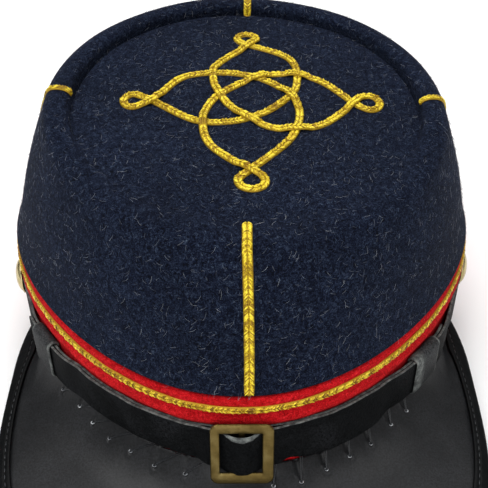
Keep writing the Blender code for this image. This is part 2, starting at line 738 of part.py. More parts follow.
def add_button(name, strap, material, root):
    # Turned profile as (radius, distance outwards): shank, flat back, rim, dome
    shank = STRAP_THICKNESS + GAP
    profile = [
        (SHANK_RADIUS, -shank), (SHANK_RADIUS, 0.0), (BUTTON_RADIUS, 0.0), (BUTTON_RADIUS, BUTTON_RIM),
    ]
    for degrees in DOME_RINGS:
        a = math.radians(degrees)
        out = BUTTON_RIM + (BUTTON_DOME - BUTTON_RIM) * math.sin(a)
        profile.append((BUTTON_RADIUS * math.cos(a), out))
    points = [Vector((0.0, 0.0, -shank))]
    for radius, out in profile:
        for k in range(BUTTON_SIDES):
            a = 2.0 * math.pi * k / BUTTON_SIDES
            points.append(Vector((radius * math.cos(a), radius * math.sin(a), out)))
    points.append(Vector((0.0, 0.0, BUTTON_DOME)))
    faces = []
    last_ring = 1 + (len(profile) - 1) * BUTTON_SIDES
    for k in range(BUTTON_SIDES):
        n = (k + 1) % BUTTON_SIDES
        faces.append((0, 1 + n, 1 + k))
        for a in range(1, last_ring, BUTTON_SIDES):
            b = a + BUTTON_SIDES
            faces.append((a + k, a + n, b + n, b + k))
        faces.append((last_ring + k, last_ring + n, len(points) - 1))
    button = add_piece(name, mesh_from(name, points, faces), material, root)
    seat = GAP + STRAP_THICKNESS + GAP
    foot = head_point(strap["button"], seat, STRAP_BUTTON_Z)
    outwards = (head_point(strap["button"], seat + 1.0, STRAP_BUTTON_Z) - foot).normalized()
    button.location = foot * MM
    button.rotation_mode = "QUATERNION"
    button.rotation_quaternion = outwards.to_track_quat("Z", "Y")
    return button


def add_shank_hole(name, button, strap_piece, material, root):
    # The hole in the strap's end that the button's shank goes through
    rings = []
    for z in (-2.0 * STRAP_THICKNESS - 2.0 * GAP, STRAP_THICKNESS):
        ring = []
        for k in range(HOLE_SIDES):
            a = 2.0 * math.pi * k / HOLE_SIDES
            ring.append(Vector((SHANK_HOLE * math.cos(a), SHANK_HOLE * math.sin(a), z)))
        rings.append(ring)
    cutter = add_cut(strap_piece, name, loft(name, rings, ring=False), material, root)
    cutter.location = button.location
    cutter.rotation_mode = "QUATERNION"
    cutter.rotation_quaternion = button.rotation_quaternion


def rest_on_floor(root, pieces):
    # Leans the hat back until the band's back edge and the peak's front edge are level, then puts
    # the middle of its box over the origin with the lowest point at zero.
    corners = [v.co for v in pieces["peak_binding"].data.vertices]
    front = min(corners, key=lambda co: co.z + 0.05 * co.y)
    back = Vector((0.0, BAND_HALF_LENGTH * MM, 0.0))
    lean = math.atan2(back.z - front.z, back.y - front.y)
    turn = Matrix.Rotation(-lean, 4, "X")
    low = Vector((1e9, 1e9, 1e9))
    high = -low
    for piece in pieces.values():
        for corner in piece.data.vertices:
            place = turn @ (piece.matrix_basis @ corner.co)
            low = Vector(map(min, low, place))
            high = Vector(map(max, high, place))
    root.rotation_euler.x = -lean
    root.location = (-0.5 * (low.x + high.x), -0.5 * (low.y + high.y), -low.z)


def build():
    for old in list(bpy.data.objects):
        bpy.data.objects.remove(old, do_unlink=True)
    materials = {name: new_material(name) for name in MATERIALS}
    root = bpy.data.objects.new("kepi", None)
    bpy.context.collection.objects.link(root)

    plain = {
        "crown_side": (crown_side_mesh(), "navy_wool"),
        "crown_top": (crown_top_mesh(), "navy_wool"),
        "band": (band_mesh(), "red_wool"),
        "band_braid": (band_braid_mesh(), "gold_braid"),
        "top_knot": (knot_mesh(), "gold_braid"),
        "peak": (peak_mesh(), "peak_leather"),
        "peak_binding": (binding_mesh(), "peak_leather"),
    }
    for name, braid in SIDE_BRAIDS.items():
        plain[name] = (side_braid_mesh(name, braid), "gold_braid")
    for name, strap in STRAPS.items():
        plain[name] = (strap_mesh(name, strap), "strap_leather")
    for name, keeper in KEEPERS.items():
        plain[name] = (keeper_mesh(name, keeper), "strap_leather")
    pieces = {name: add_piece(name, mesh, materials[slot], root) for name, (mesh, slot) in plain.items()}
    pieces["buckle"] = add_buckle(materials["brass"], root)
    for name, strap_name in (("button_left", "strap_left"), ("button_right", "strap_right")):
        pieces[name] = add_button(name, STRAPS[strap_name], materials["brass"], root)
        add_shank_hole(name + "_hole", pieces[name], pieces[strap_name], materials["brass"], root)
    rest_on_floor(root, pieces)


build()
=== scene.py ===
import math

import bmesh
import bpy
import numpy as np
from mathutils import Matrix, Vector


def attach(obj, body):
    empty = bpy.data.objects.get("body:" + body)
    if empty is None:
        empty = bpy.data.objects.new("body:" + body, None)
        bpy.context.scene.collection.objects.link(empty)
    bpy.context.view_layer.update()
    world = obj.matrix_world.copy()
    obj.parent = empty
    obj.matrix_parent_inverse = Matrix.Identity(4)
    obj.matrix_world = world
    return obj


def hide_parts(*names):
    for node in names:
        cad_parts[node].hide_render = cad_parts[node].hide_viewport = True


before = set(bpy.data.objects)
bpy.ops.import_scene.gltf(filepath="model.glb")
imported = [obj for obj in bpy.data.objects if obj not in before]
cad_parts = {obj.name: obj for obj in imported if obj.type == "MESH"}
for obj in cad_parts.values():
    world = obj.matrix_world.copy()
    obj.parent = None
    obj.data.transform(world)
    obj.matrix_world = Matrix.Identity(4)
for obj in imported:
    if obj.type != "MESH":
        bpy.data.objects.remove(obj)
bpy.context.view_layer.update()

# Pieces are shaped in the hat's own frame, in millimetres: +X to the wearer's left, -Y to the
# front, +Z up, the origin in the middle of the head opening. A turn is an angle round the head, 0 at
# +X and -90 at the front. The hat lies leant back a little, which hatPlace adds.
hatPlace = (
    Matrix.Translation(Vector((-0.28688, 24.45912, 7.75544)) * 0.001)
    @ Matrix.Rotation(math.radians(-4.23984), 4, "X")
    @ Matrix.Scale(0.001, 4)
)

head = {
    "halfWidth": 86.3, "halfLength": 104.9, "slimness": 0.022,  # the band's outer oval
    "bandHeight": 35.0, "bandThickness": 2.0,
}
crown = {
    "wool": 2.2, "puff": 1.9,
    "seat": -2.3, "hem": (1.0, 20.0),  # inside the band: how far in, and the heights of its rows
    "wallCurve": 1.15, "wallCurveBack": 0.35,
    "topCentre": (1.7, -19.4, 88.2), "topRise": 9.8, "topLean": -1.5,
    "topHalfWidth": 59.0, "topHalfLength": 58.5, "topThickness": 2.0,
    "rollWidth": 9.2, "rollHeight": 4.1, "rollHeightFront": 1.0, "rollSquare": 0.95, "rollShift": 1.6,
    "creaseDepth": 2.4, "creaseWidth": 0.8,
    "turns": 300, "frontSoftening": 40,
    "frontSwell": 2.5, "sideSwell": 3.9,  # how far the cloth hangs out over the band's edge
    "dents": 0.5,  # slow swells and dents of soft cloth
}


def smoothStep(value):
    value = np.clip(value, 0.0, 1.0)
    return value * value * (3.0 - 2.0 * value)


def unit(vectors):
    return vectors / np.maximum(np.linalg.norm(vectors, axis=-1, keepdims=True), 1e-9)


def oval(turn):
    a = np.radians(turn)
    slim = head["slimness"]
    x = head["halfWidth"] * ((1.0 - slim) * np.cos(a) + slim * np.cos(3.0 * a))
    y = head["halfLength"] * ((1.0 - slim) * np.sin(a) - slim * np.sin(3.0 * a))
    return np.stack([x, y, 0.0 * x], -1)


def outwardsAt(turn):
    ahead = oval(turn + 0.5) - oval(turn)
    return unit(np.stack([ahead[..., 1], -ahead[..., 0], 0.0 * ahead[..., 0]], -1))


def headPoint(turn, out, height):
    # beside the head opening: out is the distance outwards from the band's face
    turn, out, height = np.broadcast_arrays(*(np.asarray(v, float) for v in (turn, out, height)))
    point = oval(turn) + outwardsAt(turn) * out[..., None]
    point[..., 2] += height
    return point


topRise, topLean = math.radians(crown["topRise"]), math.radians(crown["topLean"])
topAcross = np.array((math.cos(topLean), 0.0, math.sin(topLean)))
topAlong = np.array((0.0, math.cos(topRise), math.sin(topRise)))
topUp = unit(np.cross(topAcross, topAlong))


def topPoint(x, y, height):
    x, y, height = np.broadcast_arrays(*(np.asarray(v, float) for v in (x, y, height)))
    return (np.array(crown["topCentre"]) + x[..., None] * topAcross + y[..., None] * topAlong
            + height[..., None] * topUp)


def rimPoint(turn, out, height, share=1.0):
    # beside the round top's rim, or at a share of the way to it from the middle
    a = np.radians(turn)
    return topPoint((crown["topHalfWidth"] + out) * share * np.cos(a),
                    (crown["topHalfLength"] + out) * share * np.sin(a), height)


def frontness(turn):
    return smoothStep((-np.sin(np.radians(turn)) - 0.1) / 0.8)


def wallPoint(turn, up, depth=0.0):
    foot = headPoint(turn, crown["seat"] - depth, head["bandHeight"])
    top = rimPoint(turn, crown["rollWidth"] - depth, 0.0)
    back = np.maximum(0.0, np.sin(np.radians(turn)))
    leanIn = (up ** (crown["wallCurve"] + crown["wallCurveBack"] * back))[..., None]
    point = foot + (top - foot) * leanIn
    point[..., 2] = foot[..., 2] + (top[..., 2] - foot[..., 2]) * up
    swell = crown["puff"] * math.sin(math.pi * up)
    sideways = np.abs(np.cos(np.radians(turn))) ** 0.8
    overBand = crown["frontSwell"] + (crown["sideSwell"] - crown["frontSwell"]) * sideways
    overBand = overBand * (1.0 - math.exp(-up / 0.01)) * math.exp(-up / 0.13)
    return point + unit(foot * np.array((1.0, 1.0, 0.0))) * (swell + overBand)[..., None]


def rollPoint(turn, over, depth=0.0):
    flatter = smoothStep((0.05 - np.sin(np.radians(turn))) / 0.75)
    height = crown["rollHeight"] + (crown["rollHeightFront"] - crown["rollHeight"]) * flatter
    half = 0.5 * crown["rollWidth"]
    base = -depth * (1.0 - height / crown["rollHeight"])
    across = math.copysign(abs(math.cos(math.pi * over)) ** crown["rollSquare"], math.cos(math.pi * over))
    rise = abs(math.sin(math.pi * over)) ** crown["rollSquare"]
    shift = crown["rollShift"] * rise * height / crown["rollHeight"]
    return rimPoint(turn, half + (half - depth) * across - shift, base + (height - depth - base) * rise)


def runAlong(route):
    # the length of a route up to each of its points
    return np.concatenate([[0.0], np.cumsum(np.linalg.norm(np.diff(route, axis=0), axis=1))])


def roundEnd(near, radius, least=0.0):
    # the share of its width that a strip has near a round end
    return np.sqrt(1.0 - (1.0 - np.clip(near / radius, least, 1.0)) ** 2)


def dentsAt(points):
    x, y, z = points[..., 0], points[..., 1], points[..., 2]
    slow = np.sin(x / 21.0 + 1.1) * np.sin(y / 25.0 - 0.7) * np.sin(z / 17.0 + 0.4)
    quick = np.sin(x / 9.5 - 0.3) * np.sin(y / 12.0 + 1.9) * np.sin(z / 8.0 + 0.8)
    return crown["dents"] * (slow + 0.4 * quick)


def crownSkin(turn):
    # outer skin, a column for each turn, rows from the band up over the roll to the top's middle
    rows = [(-1.0, headPoint(turn, crown["seat"], height)) for height in crown["hem"]]
    rises = np.concatenate([[0.0, 0.004, 0.009, 0.015, 0.024, 0.036], np.linspace(0.05, 1.0, 53)])
    rows += [(up, wallPoint(turn, up)) for up in rises]
    rows += [(1.0 + over, rollPoint(turn, over)) for over in np.linspace(0.0, 1.0, 22)[1:]]
    crease = crown["creaseDepth"] * smoothStep((np.sin(np.radians(turn)) + 0.1) / 0.3)
    width = crown["creaseWidth"]
    for out, depth in ((-0.15, 0.75), (-0.35, 1.0), (-0.65, 0.85), (-1.0, 0.3), (-1.5, 0.06)):
        rows.append((2.0, rimPoint(turn, out * width, -depth * crease)))
    rows += [(3.0 - share, rimPoint(turn, -2.3 * width, 0.0, share)) for share in np.linspace(1.0, 0.0, 46)]
    marks, points = np.array([mark for mark, _ in rows]), np.stack([row for _, row in rows], 1)
    # at the front the cloth bends over softly, with no edge to see
    reach = smoothStep((marks - 0.35) / 0.3) * smoothStep((2.5 - marks) / 0.3)
    soft = 0.5 * frontness(turn)[:, None, None] * reach[None, 1:-1, None]
    for _ in range(crown["frontSoftening"]):
        between = 0.5 * (points[:, :-2] + points[:, 2:])
        points[:, 1:-1] += soft * (between - points[:, 1:-1])
    a = np.radians(turn)
    across = unit(np.stack([-np.sin(a), np.cos(a), 0.0 * a], -1))[:, None, :]
    normals = unit(np.cross(np.broadcast_to(across, points.shape), np.gradient(points, axis=1)))
    normals[:, marks >= 2.0] = topUp
    swell = dentsAt(points) * smoothStep((points[..., 2] - head["bandHeight"]) / 12.0)
    return points + normals * swell[..., None], normals, marks


def topHeight(x, y):
    # how far the uneven cloth of the round top is above its plane
    return dentsAt(topPoint(x, y, 0.0))


def gridMesh(name, points, ringed, tubed=False, capped=False, skip=()):
    # points is (columns, rows, 3). ringed joins the last column to the first, tubed the last row
    columns, rows = points.shape[:2]
    i = np.arange(columns if ringed else columns - 1)
    j = np.array([k for k in range(rows if tubed else rows - 1) if k not in skip])
    a, b = (v.ravel() for v in np.meshgrid(i, j, indexing="ij"))
    c, d = (a + 1) % columns, (b + 1) % rows
    faces = np.stack([a * rows + b, c * rows + b, c * rows + d, a * rows + d], -1).tolist()
    if capped:
        faces.append(list(range(rows - 1, -1, -1)))
        faces.append(list(range((columns - 1) * rows, columns * rows)))
    mesh = bpy.data.meshes.new(name)
    mesh.from_pydata(points.reshape(-1, 3).tolist(), [], faces)
    return mesh


def closeUp(mesh, weld=0.001):
    work = bmesh.new()
    work.from_mesh(mesh)
    bmesh.ops.remove_doubles(work, verts=work.verts, dist=weld)
    bmesh.ops.recalc_face_normals(work, faces=work.faces)
    work.to_mesh(mesh)
    work.free()
    return mesh


def linked(name, data):
    made = bpy.data.objects.new(name, data)
    bpy.context.scene.collection.objects.link(made)
    return made


def addPiece(name, mesh, material, sharp=None, placed=False):
    # closes a mesh of the hat's frame, puts it in its place and gives it its material
    if not placed:
        closeUp(mesh)
        mesh.transform(hatPlace)
    mesh.materials.clear()
    mesh.materials.append(material)
    mesh.shade_smooth()
    if sharp:
        mesh.set_sharp_from_angle(angle=math.radians(sharp))
    return linked(name, mesh)


def joined(name, pieces):
    # one object of several, which share one material
    work = bmesh.new()
    for piece in pieces:
        work.from_mesh(piece.data)
    mesh = pieces[0].data.copy()
    mesh.name = name
    work.to_mesh(mesh)
    work.free()
    for piece in pieces:
        bpy.data.objects.remove(piece)
    return linked(name, mesh)


def settle(piece, slot, *nodes):
    if nodes:
        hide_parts(*nodes)
    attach(piece, "root")


def markPoints(mesh, label, values, kind="FLOAT"):
    # values kept on the mesh's points, for its material or for a geometry tree
    field = "value" if kind == "FLOAT" else "vector"
    mesh.attributes.new(label, kind, "POINT").data.foreach_set(field, np.ravel(values))


def setInputs(node, inputs):
    # an input given a node or a socket is linked to it, and any other value is set
    for name, value in inputs.items():
        if isinstance(value, bpy.types.Node):
            value = next(output for output in value.outputs if output.enabled)
        if isinstance(value, bpy.types.NodeSocket):
            node.id_data.links.new(value, node.inputs[name])
        else:
            node.inputs[name].default_value = value


def addNode(tree, kind, inputs=None, stops=(), **settings):
    # stops are the places and colours of a ramp
    made = tree.nodes.new(kind)
    for name, value in settings.items():
        setattr(made, name, value)
    for _ in stops[2:]:
        made.color_ramp.elements.new(0.5)
    for number, (position, code) in enumerate(stops):
        made.color_ramp.elements[number].position = position
        made.color_ramp.elements[number].color = toLinear(code)
    setInputs(made, inputs or {})
    return made


def newTree(name, sockets):
    # a geometry tree with named inputs for its sizes
    tree = bpy.data.node_groups.new(name, "GeometryNodeTree")
    tree.interface.new_socket("Geometry", in_out="OUTPUT", socket_type="NodeSocketGeometry")
    tree.interface.new_socket("Geometry", in_out="INPUT", socket_type="NodeSocketGeometry")
    for label, kind in sockets.items():
        tree.interface.new_socket(label, in_out="INPUT", socket_type="NodeSocket" + kind)
    return tree, addNode(tree, "NodeGroupInput").outputs, addNode(tree, "NodeGroupOutput")


def scattered(tree, given, result, points, shape, rotation, scale, tone=None):
    # the last steps of a tree: a shape on every point, made real and given its material
    placed = addNode(tree, "GeometryNodeInstanceOnPoints", {
        "Points": points, "Instance": shape, "Rotation": rotation, "Scale": scale})
    if tone:
        placed = addNode(tree, "GeometryNodeStoreNamedAttribute", {
            "Geometry": placed, "Name": "tone", "Value": tone}, data_type="FLOAT", domain="INSTANCE")
    real = addNode(tree, "GeometryNodeRealizeInstances", {"Geometry": placed})
    dressed = addNode(tree, "GeometryNodeSetMaterial", {"Geometry": real, "Material": given["Material"]})
    setInputs(result, {"Geometry": dressed})


def facingUp(tree, ahead):
    # turns an instance to the direction ahead and to the points' own upward one
    upMark = addNode(
        tree, "GeometryNodeInputNamedAttribute", {"Name": "upwards"}, data_type="FLOAT_VECTOR")
    return addNode(tree, "FunctionNodeAxesToRotation", {
        "Primary Axis": upMark, "Secondary Axis": ahead}, primary_axis="Z", secondary_axis="X")


def grown(name, base, tree, values):
    # the plain mesh that a tree makes of a mesh
    holder = linked(name + "Base", base)
    modifier = holder.modifiers.new(tree.name, "NODES")
    modifier.node_group = tree
    for item in tree.interface.items_tree:
        if item.in_out == "INPUT" and item.name in values:
            modifier[item.identifier] = values[item.name]
    bpy.context.view_layer.update()
    ready = holder.evaluated_get(bpy.context.evaluated_depsgraph_get())
    mesh = bpy.data.meshes.new_from_object(ready)
    mesh.name = name
    bpy.data.objects.remove(holder)
    return linked(name, mesh)


def toLinear(code):
    channels = [int(code[i:i + 2], 16) / 255.0 for i in (0, 2, 4)]
    return tuple(c / 12.92 if c <= 0.04045 else ((c + 0.055) / 1.055) ** 2.4 for c in channels) + (1.0,)


def newMaterial(name, settings):
    material = bpy.data.materials.new(name)
    material.use_nodes = True
    tree = material.node_tree
    shader = tree.nodes["Principled BSDF"]
    setInputs(shader, settings)
    return material, tree, shader, addNode(tree, "ShaderNodeTexCoord").outputs["Object"]


def sized(millimetres):
    return 1000.0 / millimetres  # the texture scale for features of this size


def meltonWool(name, colours, sheenWeight, sheenTint):
    # Melton wool is woven, then felted and raised until no weave shows. It looks dull and deep,
    # mottled by fibres, with a soft light edge where it is seen at a low angle.
    material, tree, shader, place = newMaterial(name, {
        "Roughness": 0.95, "Specular IOR Level": 0.08, "Sheen Weight": sheenWeight,
        "Sheen Roughness": 0.5, "Sheen Tint": toLinear(sheenTint)})
    clouds = addNode(tree, "ShaderNodeTexNoise", {
        "Vector": place, "Scale": sized(28.0), "Detail": 3.0, "Roughness": 0.6})
    # fibres are 0.02 mm thick; drawn 0.3 to 0.6 mm wide, the finest that shows in the render
    tufts = addNode(tree, "ShaderNodeTexNoise", {
        "Vector": place, "Scale": sized(1.5), "Detail": 5.0, "Roughness": 0.85, "Distortion": 1.0})
    fibres = addNode(tree, "ShaderNodeTexNoise", {
        "Vector": place, "Scale": sized(0.8), "Detail": 2.0, "Roughness": 0.6, "Distortion": 2.5})
    felt = addNode(tree, "ShaderNodeMix", {0: 0.45, 2: tufts, 3: fibres}, data_type="FLOAT")
    shade = addNode(tree, "ShaderNodeValToRGB", {"Fac": felt},
                    list(zip((0.41, 0.49, 0.59, 0.7), colours)))
    wash = addNode(tree, "ShaderNodeMapRange", {
        "Value": clouds, "From Min": 0.3, "From Max": 0.7, "To Min": 0.82, "To Max": 1.18})
    washed = addNode(tree, "ShaderNodeVectorMath", {0: shade, "Scale": wash}, operation="SCALE")
    bump = addNode(tree, "ShaderNodeBump", {"Strength": 1.0, "Distance": 0.0009, "Height": felt})
    setInputs(shader, {"Base Color": washed, "Normal": bump})
    return material


def goldThread(name, colours):
    # Gold braid of rayon and metallised thread, woven tight over two cords: bright yellow glints on
    # each thread and brown shade between them.
    material, tree, shader, place = newMaterial(name, {
        "Roughness": 0.36, "Metallic": 0.25, "Specular IOR Level": 0.45})
    # filaments of 0.1 mm, drawn 0.3 mm wide
    grain = addNode(tree, "ShaderNodeTexNoise", {
        "Vector": place, "Scale": sized(0.5), "Detail": 2.0, "Roughness": 0.7})
    # the last of the four colours goes on the core: painted shade for the gaps between the threads, which
    # lie in shadow
    tone, under = (addNode(tree, "ShaderNodeAttribute", attribute_name=label).outputs["Fac"]
                   for label in ("tone", "paintedGapShade"))
    mixed = addNode(tree, "ShaderNodeMix", {0: 0.3, 2: grain, 3: tone}, data_type="FLOAT")
    shade = addNode(tree, "ShaderNodeValToRGB", {"Fac": mixed}, list(zip((0.37, 0.48, 0.6), colours)))
    whole = addNode(tree, "ShaderNodeMix", {0: under, 6: shade, 7: toLinear(colours[3])}, data_type="RGBA")
    bump = addNode(tree, "ShaderNodeBump", {"Strength": 0.9, "Distance": 0.0003, "Height": grain})
    setInputs(shader, {"Base Color": whole, "Normal": bump})
    return material


def finishedLeather(name, look):
    # Black finished leather, pressed smooth: a satin surface that mirrors the light in soft patches
    # broken up by fine pores, with a few pale rubs. A strap's cut edges are raw, undyed and grey.
    material, tree, shader, place = newMaterial(name, {
        "Roughness": look["rough"][0], "Specular IOR Level": look["specular"],
        "Coat Weight": look["coat"], "Coat Roughness": 0.32})
    pores = addNode(tree, "ShaderNodeTexVoronoi", {
        "Vector": place, "Scale": sized(look["pore"]), "Randomness": 1.0}, feature="SMOOTH_F1")
    fine = addNode(tree, "ShaderNodeTexNoise", {
        "Vector": place, "Scale": sized(0.6), "Detail": 4.0, "Roughness": 0.7})
    broad = addNode(tree, "ShaderNodeTexNoise", {
        "Vector": place, "Scale": sized(16.0), "Detail": 4.0, "Roughness": 0.6})
    shade = addNode(tree, "ShaderNodeValToRGB", {"Fac": broad}, list(zip((0.3, 0.52, 0.8), look["tones"])))
    rubs = addNode(tree, "ShaderNodeTexNoise", {
        "Vector": place, "Scale": sized(2.2), "Detail": 5.0, "Roughness": 0.8, "Distortion": 1.5})
    rubbed = addNode(tree, "ShaderNodeMapRange", {
        "Value": rubs, "From Min": 0.64, "From Max": 0.78, "To Min": 0.0, "To Max": 0.35})
    blended = addNode(tree, "ShaderNodeMix", {
        0: rubbed, 6: shade, 7: toLinear(look["tones"][3])}, data_type="RGBA")
    mottle = addNode(tree, "ShaderNodeMapRange", {
        "Value": fine, "From Min": 0.35, "From Max": 0.65,
        "To Min": look["mottle"][0], "To Max": look["mottle"][1]})
    colour = addNode(tree, "ShaderNodeVectorMath", {0: blended, "Scale": mottle}, operation="SCALE")
    if look["rawEdge"]:
        mark = addNode(tree, "ShaderNodeAttribute", attribute_name="cutEdge").outputs["Fac"]
        edge = addNode(tree, "ShaderNodeMapRange", {"Value": mark, "From Min": 0.35, "From Max": 0.8})
        fuzz = addNode(tree, "ShaderNodeTexNoise", {
            "Vector": place, "Scale": sized(2.0), "Detail": 5.0, "Roughness": 0.7})
        raw = addNode(tree, "ShaderNodeValToRGB", {"Fac": fuzz}, [
            (0.36, "363838"), (0.5, "545756"), (0.66, "7A7E7B")])
        colour = addNode(tree, "ShaderNodeMix", {0: edge, 6: colour, 7: raw}, data_type="RGBA")
    rough = addNode(tree, "ShaderNodeMapRange", {
        "Value": broad, "From Min": 0.3, "From Max": 0.7,
        "To Min": look["rough"][0], "To Max": look["rough"][1]})
    surface = addNode(tree, "ShaderNodeMix", {0: 0.4, 2: pores, 3: fine}, data_type="FLOAT")
    bump = addNode(tree, "ShaderNodeBump", {
        "Strength": look["relief"], "Distance": 0.0003, "Height": surface})
    setInputs(shader, {"Base Color": colour, "Roughness": rough, "Normal": bump})
    return material


def mottledMaterial(name, settings, size, detail, stops):
    # a plain surface whose colour wanders between a few tones
    material, tree, shader, place = newMaterial(name, settings)
    noise = addNode(tree, "ShaderNodeTexNoise", {"Vector": place, "Scale": sized(size), "Detail": detail})
    setInputs(shader, {"Base Color": addNode(tree, "ShaderNodeValToRGB", {"Fac": noise}, stops)})
    return material


wool = meltonWool("navyMeltonWool", ("02040B", "0A0F20", "273145", "66727F"), 0.03, "8C9BC0")
redWool = meltonWool("redMeltonWool", ("880409", "BE0C14", "DE242C", "EA4648"), 0.04, "FF9A90")
# the last colour of each braid is its core's painted shade, seen in the gaps between the threads
gold = goldThread("goldMetallicBraid", ("8A6806", "CBAB12", "FAE440", "B28E10"))
bandGold = goldThread("goldBandBraid", ("6C4404", "C0920C", "F8E040", "B48C12"))

# tones are dark to light, with the rubbed one last; pore sizes are in mm
leathers = {
    "blackPeakLeather": {
        "tones": ("101113", "161719", "1E1F22", "343539"), "rough": (0.36, 0.5), "coat": 0.05,
        "specular": 0.23, "pore": 0.9, "relief": 0.16, "mottle": (0.3, 1.9), "rawEdge": False},
    "blackBindingLeather": {
        "tones": ("050607", "08090A", "0E0F11", "1E1F22"), "rough": (0.34, 0.48), "coat": 0.0,
        "specular": 0.08, "pore": 0.8, "relief": 0.2, "mottle": (0.5, 1.6), "rawEdge": False},
    "blackStrapLeather": {
        "tones": ("050607", "0B0C0D", "17181A", "303235"), "rough": (0.55, 0.75), "coat": 0.0,
        "specular": 0.05, "pore": 0.7, "relief": 0.8, "mottle": (0.2, 2.6), "rawEdge": True},
    "blackKeeperLeather": {
        "tones": ("1A1B1C", "252627", "303133", "4C4D4E"), "rough": (0.55, 0.75), "coat": 0.0,
        "specular": 0.12, "pore": 0.7, "relief": 0.8, "mottle": (0.2, 2.6), "rawEdge": True},
}
peakLeather, bindingLeather, strapLeather, keeperLeather = (
    finishedLeather(name, look) for name, look in leathers.items())

# Dull antique brass: an alloy rolled into sheet and stamped, browned and rubbed
# bright in random patches
brass, brassTree, brassShader, brassPlace = newMaterial(
    "antiqueBrass", {"Metallic": 1.0, "Roughness": 0.36})
tarnish = addNode(brassTree, "ShaderNodeTexNoise", {
    "Vector": brassPlace, "Scale": sized(5.0), "Detail": 5.0, "Roughness": 0.65})
brushing = addNode(brassTree, "ShaderNodeMapping", {"Vector": brassPlace, "Scale": (0.12, 1.0, 1.0)})
scratches = addNode(brassTree, "ShaderNodeTexNoise", {
    "Vector": brushing, "Scale": sized(0.5), "Detail": 3.0})
setInputs(brassShader, {
    "Base Color": addNode(brassTree, "ShaderNodeValToRGB", {"Fac": tarnish}, [
        (0.3, "524424"), (0.5, "645530"), (0.72, "786A44")]),
    "Roughness": addNode(brassTree, "ShaderNodeMapRange", {
        "Value": tarnish, "From Min": 0.3, "From Max": 0.7, "To Min": 0.46, "To Max": 0.3}),
    "Normal": addNode(brassTree, "ShaderNodeBump", {
        "Strength": 0.25, "Distance": 0.0001, "Height": scratches})})

# The buttons' brass is polished, and mirrors the pale room
buttonBrass = mottledMaterial(
    "polishedBrass", {"Metallic": 1.0, "Roughness": 0.26}, 4.0, 4.0, [(0.35, "9C8C5C"), (0.65, "C8BA8C")])

# Waxed linen thread: dark, with a hard light glint along each strand
threadMaterial = mottledMaterial(
    "waxedThread", {"Roughness": 0.3, "Specular IOR Level": 0.5}, 1.0, 2.0,
    [(0.35, "101215"), (0.65, "2A2D31")])

# The stitches' loops round their holes: the same dark thread, coloured pale as a painted glint
glintLoopMaterial = mottledMaterial(
    "threadWithPaintedGlint", {"Roughness": 0.2, "Specular IOR Level": 0.8}, 1.2, 3.0,
    [(0.4, "484B50"), (0.5, "84888C"), (0.6, "D0D4D8")])

# Loose wool fibres: navy or red nap, and pale lint that has settled on the felt
napMaterials = {}
for name, dark, light in (("navyNap", "10152A", "2C3552"), ("redNap", "900810", "D02A34"),
                          ("paleLint", "4A5060", "A6AAB2")):
    napMaterials[name] = mottledMaterial(
        name, {"Roughness": 0.8, "Specular IOR Level": 0.3}, 4.0, 2.0, [(0.35, dark), (0.65, light)])
print("stage: materials made")

# Camera: the photograph's own angle, from in front and above
view = {
    "place": (0.45, -264.5, 206.9), "down": 36.0, "sideways": -0.11, "roll": -0.16,
    "focalPixels": 790.0, "photoPixels": 488.0, "sensor": 36.0,
}
down, sideways, roll = (math.radians(view[k]) for k in ("down", "sideways", "roll"))
spin = Matrix.Rotation(sideways, 3, "Z")
forwards = spin @ Vector((0.0, math.cos(down), -math.sin(down)))
upwards = spin @ Vector((0.0, math.sin(down), math.cos(down)))
rightwards = spin @ Vector((1.0, 0.0, 0.0))
cameraRight = math.cos(roll) * rightwards + math.sin(roll) * upwards
cameraUp = math.cos(roll) * upwards - math.sin(roll) * rightwards
aim = Matrix((cameraRight, cameraUp, -forwards)).transposed().to_4x4()
aim.translation = Vector(view["place"])
camera = linked("camera", bpy.data.cameras.new("camera"))
cameraPlace = hatPlace @ aim
camera.matrix_world = Matrix.LocRotScale(
    cameraPlace.translation, cameraPlace.to_quaternion(), Vector((1.0, 1.0, 1.0)))
camera.data.sensor_width = view["sensor"]
camera.data.lens = view["focalPixels"] / view["photoPixels"] * view["sensor"]
camera.data.clip_start = 0.01
bpy.context.scene.camera = camera

# Crown: one skin of wool from the band over the roll and across the sunken top
turns = np.arange(crown["turns"]) * 360.0 / crown["turns"]
skin, skinMarks = crownSkin(turns)[::2]
inside = [headPoint(turns, crown["seat"] - crown["wool"], height) for height in crown["hem"]]
inside += [wallPoint(turns, up, crown["wool"]) for up in np.linspace(0.0, 1.0, 20)]
inside += [rollPoint(turns, over, crown["wool"]) for over in np.linspace(0.1, 1.0, 8)]
inside += [rimPoint(turns, 0.0, -crown["topThickness"] - 0.6, share) for share in np.linspace(1.0, 0.0, 8)]
crownGrid = np.concatenate([skin, np.stack(inside, 1)[:, ::-1]], axis=1)
crownMesh = gridMesh("crown", crownGrid, ringed=True, tubed=True, skip=(skin.shape[1] - 1,))
settle(addPiece("crown", crownMesh, wool), "navy_wool", "crown_side", "crown_top")
print("stage: crown", len(crownMesh.polygons), "faces")

